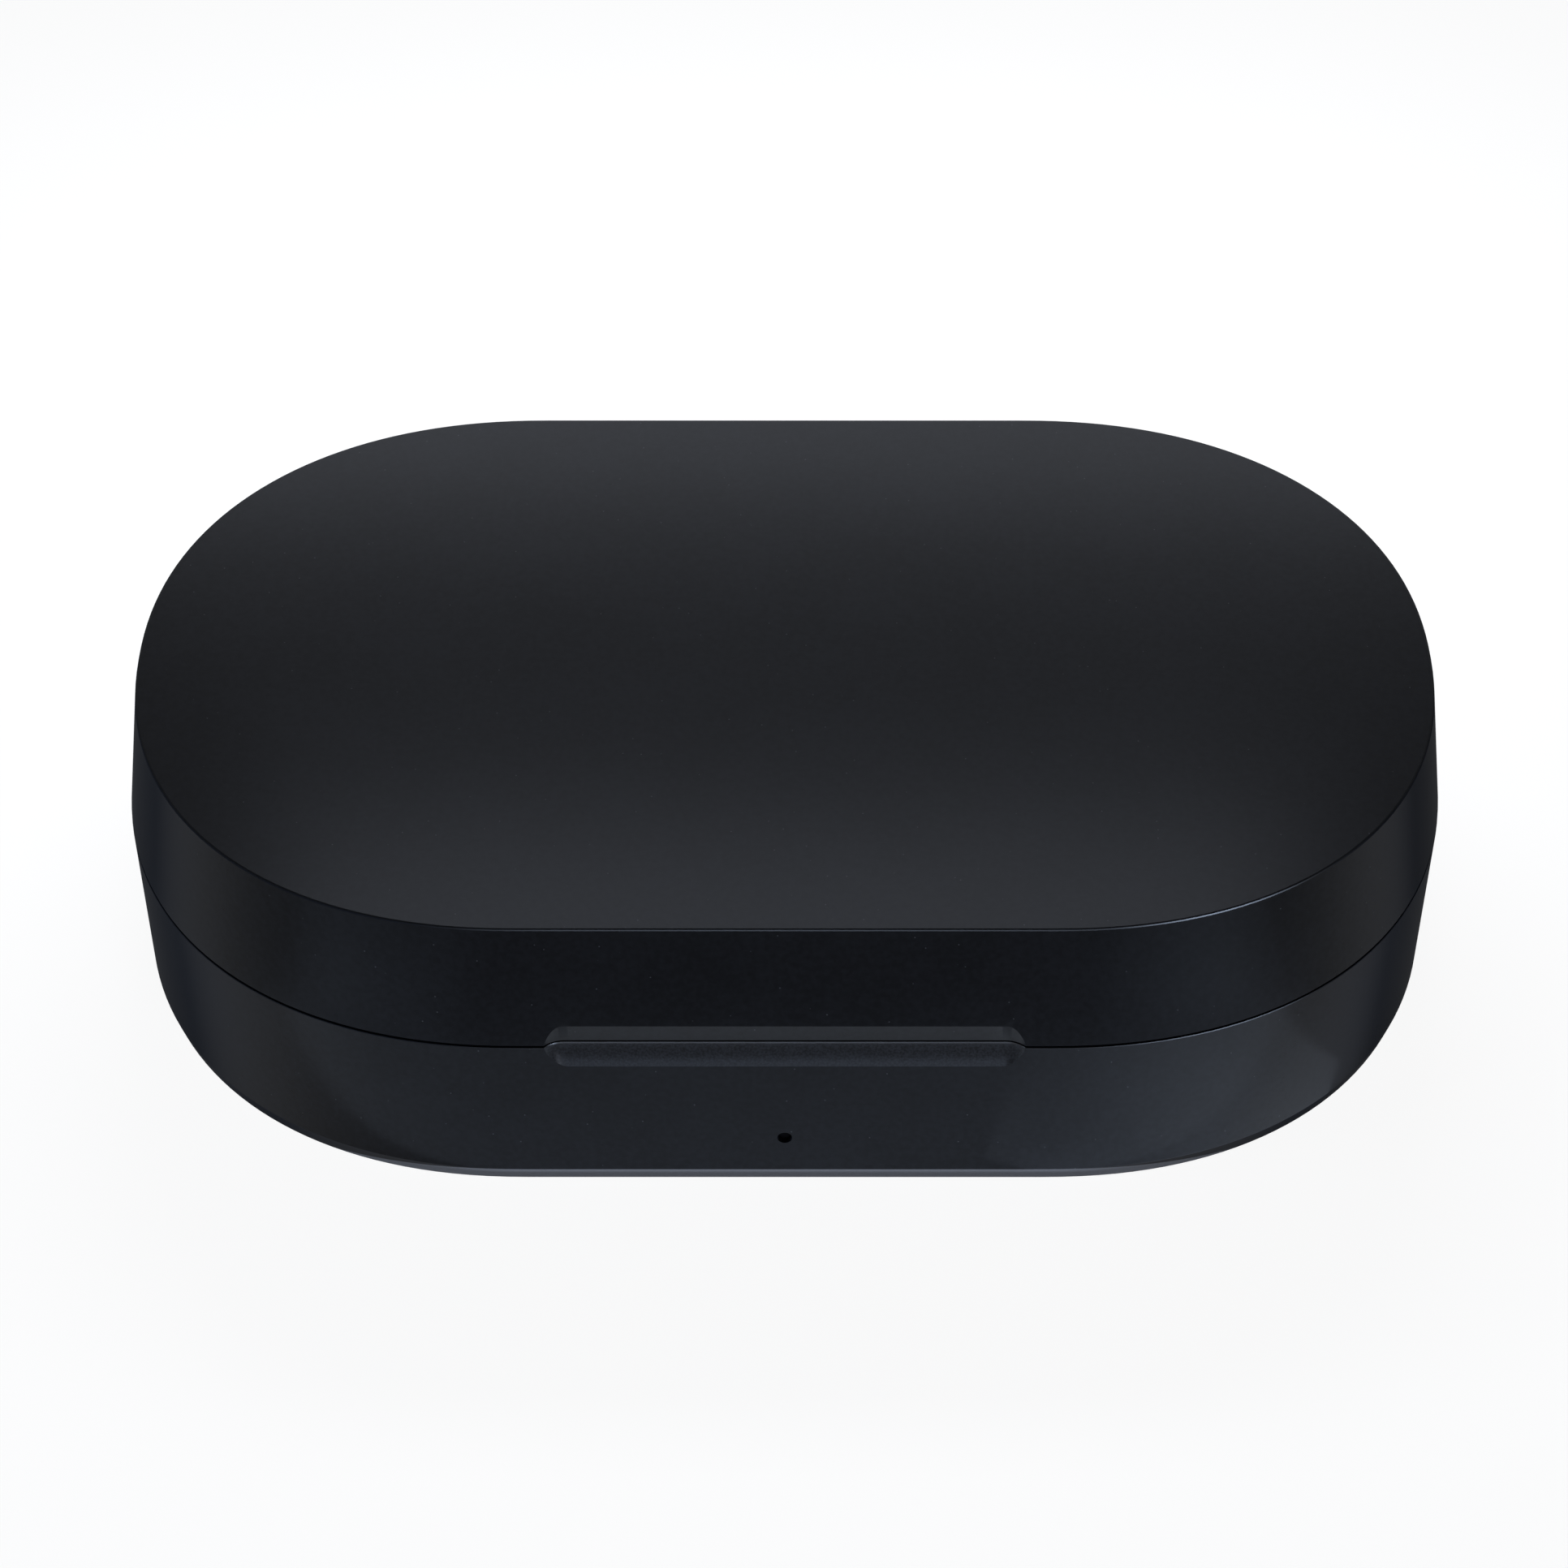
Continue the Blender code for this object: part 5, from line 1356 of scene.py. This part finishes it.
class EARCASE_OT_studio(bpy.types.Operator):
    """Set up the camera, the lights and the floor"""

    bl_idname = "earcase.studio"
    bl_label = "Studio"

    def execute(self, context):
        scene = context.scene
        studio = scene.earcase_studio
        scene.view_settings.view_transform = "Standard"
        self.add_camera(scene, studio)
        self.add_floor(studio)
        self.set_world(scene, studio)
        for light in LIGHTS:
            self.add_light(scene, *light)
        return {"FINISHED"}

    @staticmethod
    def add_camera(scene, studio):
        data = bpy.data.cameras.new("camera")
        data.lens = studio.lens
        data.clip_start = 0.01
        camera = bpy.data.objects.new("camera", data)
        camera.location = (0, -studio.camera_back, studio.camera_height)
        camera.rotation_euler = (math.pi / 2 - studio.pitch, 0, studio.yaw)
        scene.collection.objects.link(camera)
        scene.camera = camera

    @staticmethod
    def add_floor(studio):
        bm = bmesh.new()
        bmesh.ops.create_grid(bm, x_segments=1, y_segments=1, size=3)
        bmesh.ops.translate(bm, vec=(0, 0, -0.00002), verts=bm.verts)
        floor = piece_from("floor", bm)
        finish = Finish("pale_floor")
        tone = studio.floor_tone
        finish.surface(base_color=(tone, tone, tone, 1), roughness=0.9)
        glow = finish.node("ShaderNodeEmission", {}, {"Strength": studio.floor_glow})
        shadowed = finish.node("ShaderNodeBsdfDiffuse", {}, {"Color": (0.2, 0.2, 0.2, 1)})
        pale = finish.node("ShaderNodeAddShader", {}, {0: glow, 1: shadowed})
        plain = Signal(finish, finish.shader.outputs[0])
        finish.feed(finish.output, {"Surface": finish.mixed(finish.in_view(), plain, pale)})
        floor.data.materials.append(finish.material)

    @staticmethod
    def set_world(scene, studio):
        scene.world = bpy.data.worlds.new("room")
        nodes = Nodes(scene.world)
        nodes.tree.nodes.clear()
        white = (1, 1, 1, 1)
        room = nodes.node("ShaderNodeBackground", {}, {"Color": white, "Strength": studio.world})
        backdrop = nodes.node("ShaderNodeBackground", {}, {"Color": white, "Strength": 1.0})
        output = nodes.tree.nodes.new("ShaderNodeOutputWorld")
        nodes.feed(output, {"Surface": nodes.mixed(nodes.in_view(), room, backdrop)})

    @staticmethod
    def add_light(scene, name, place, target, spin, width, depth, fade, brightness, colour, plain=True):
        data = bpy.data.lights.new(name, "AREA")
        data.shape = "RECTANGLE"
        data.size = width
        data.size_y = depth
        data.energy = math.pi * width * depth * brightness
        data.color = colour
        nodes = Nodes(data)
        place_on_light = nodes.node("ShaderNodeNewGeometry", {}, {}, "Parametric")
        across = nodes.node("ShaderNodeSeparateXYZ", {}, {"Vector": place_on_light}, "X")
        from_end = 0.5 - (across - 0.5).size()
        softness, least = fade
        nodes.feed(nodes.tree.nodes["Emission"], {"Strength": from_end.ramp(0.0, softness / 2, least, 1.0)})
        light = bpy.data.objects.new(name, data)
        light.location = place
        aim = Vector(target) - Vector(place)
        turn = Quaternion((0, 0, 1), math.radians(spin))
        light.rotation_euler = (aim.to_track_quat("-Z", "Y") @ turn).to_euler()
        light.visible_camera = False
        light.visible_diffuse = plain
        scene.collection.objects.link(light)


CASE_TOP = (0, 0, 0.01985)
RIGHT_EDGE = (0.024, -0.0228, 0.0198)
COOL = (0.87, 0.915, 1.0)
BLUE = (0.74, 0.85, 1.0)
EVEN = (0.01, 1.0)
TO_NOTHING = (1.0, 0.0)
# name, place, aim, spin in degrees, width, depth, fade along the width (share that fades, least share of the
# brightness), brightness where white paper in full light is 1, colour, and False for highlights alone
LIGHTS = (
    ("front_strip", (0, 0.0581, 0.1011), CASE_TOP, 0, 0.085, 0.018, EVEN, 9.8, COOL),
    ("back_strip", (0, 0.0883, 0.0666), CASE_TOP, 0, 0.12, 0.014, EVEN, 7.0, COOL),
    ("right_box", (0.1266, -0.2715, 0.0357), CASE_TOP, 0, 0.08, 0.08, EVEN, 10.0, COOL),
    ("left_lamp", (-0.235, -0.085, 0.06), CASE_TOP, 0, 0.12, 0.10, EVEN, 4.2, BLUE),
    ("front_lamp", (0, -0.26, 0.035), CASE_TOP, 0, 0.14, 0.04, (0.5, 0.0), 8.0, BLUE),
    ("edge_lamp", (0.1857, -0.1845, 0.2139), RIGHT_EDGE, -17, 0.28, 0.03, TO_NOTHING, 40.0, BLUE, False),
    ("brow_lamp", (0, -0.20, 0.235), CASE_TOP, 0, 0.20, 0.03, TO_NOTHING, 12.0, BLUE, False),
    ("front_card", (0, -0.0332, 0.0006), (0, -0.0332, 1), 0, 0.09, 0.017, (1.0, 0.78), 1.28, BLUE),
    ("near_card", (0.0260, -0.0282, 0.0010), (0.0260, -0.0282, 1), -19, 0.025, 0.0146, (1.0, 0.4), 2.2, BLUE),
    ("left_card", (-0.040, -0.046, 0.0008), (-0.040, -0.046, 1), 25, 0.03, 0.016, (1.0, 0.75), 1.15, BLUE),
    ("right_card", (0.040, -0.046, 0.0008), (0.040, -0.046, 1), -25, 0.03, 0.016, (1.0, 0.45), 2.2, BLUE),
)


class EARCASE_PT_panel(bpy.types.Panel):
    bl_label = "Earbuds Case"
    bl_idname = "EARCASE_PT_panel"
    bl_space_type = "VIEW_3D"
    bl_region_type = "UI"
    bl_category = "Earbuds Case"

    def draw(self, context):
        for operator in OPERATORS:
            self.layout.operator(operator.bl_idname)
        for name, group in GROUPS:
            column = self.layout.column(heading=group.__doc__)
            settings = getattr(context.scene, name)
            for key in group.__annotations__:
                column.prop(settings, key)


GROUPS = (
    ("earcase_shells", CaseSizes),
    ("earcase_scoop", ScoopSizes),
    ("earcase_hinge", HingeSizes),
    ("earcase_cradle", CradleSizes),
    ("earcase_colours", FinishColours),
    ("earcase_studio", StudioSettings),
)
OPERATORS = (
    EARCASE_OT_base,
    EARCASE_OT_lid,
    EARCASE_OT_cradle,
    EARCASE_OT_lining,
    EARCASE_OT_hinge,
    EARCASE_OT_contacts,
    EARCASE_OT_socket,
    EARCASE_OT_indicator,
    EARCASE_OT_electronics,
    EARCASE_OT_studio,
)


def register():
    for name, group in GROUPS:
        bpy.utils.register_class(group)
        setattr(bpy.types.Scene, name, PointerProperty(type=group))
    for operator in OPERATORS:
        bpy.utils.register_class(operator)
    bpy.utils.register_class(EARCASE_PT_panel)


def unregister():
    bpy.utils.unregister_class(EARCASE_PT_panel)
    for operator in reversed(OPERATORS):
        bpy.utils.unregister_class(operator)
    for name, group in reversed(GROUPS):
        delattr(bpy.types.Scene, name)
        bpy.utils.unregister_class(group)


def main():
    register()
    for operator in OPERATORS:
        group, name = operator.bl_idname.split(".")
        getattr(getattr(bpy.ops, group), name)()


if __name__ == "__main__":
    main()
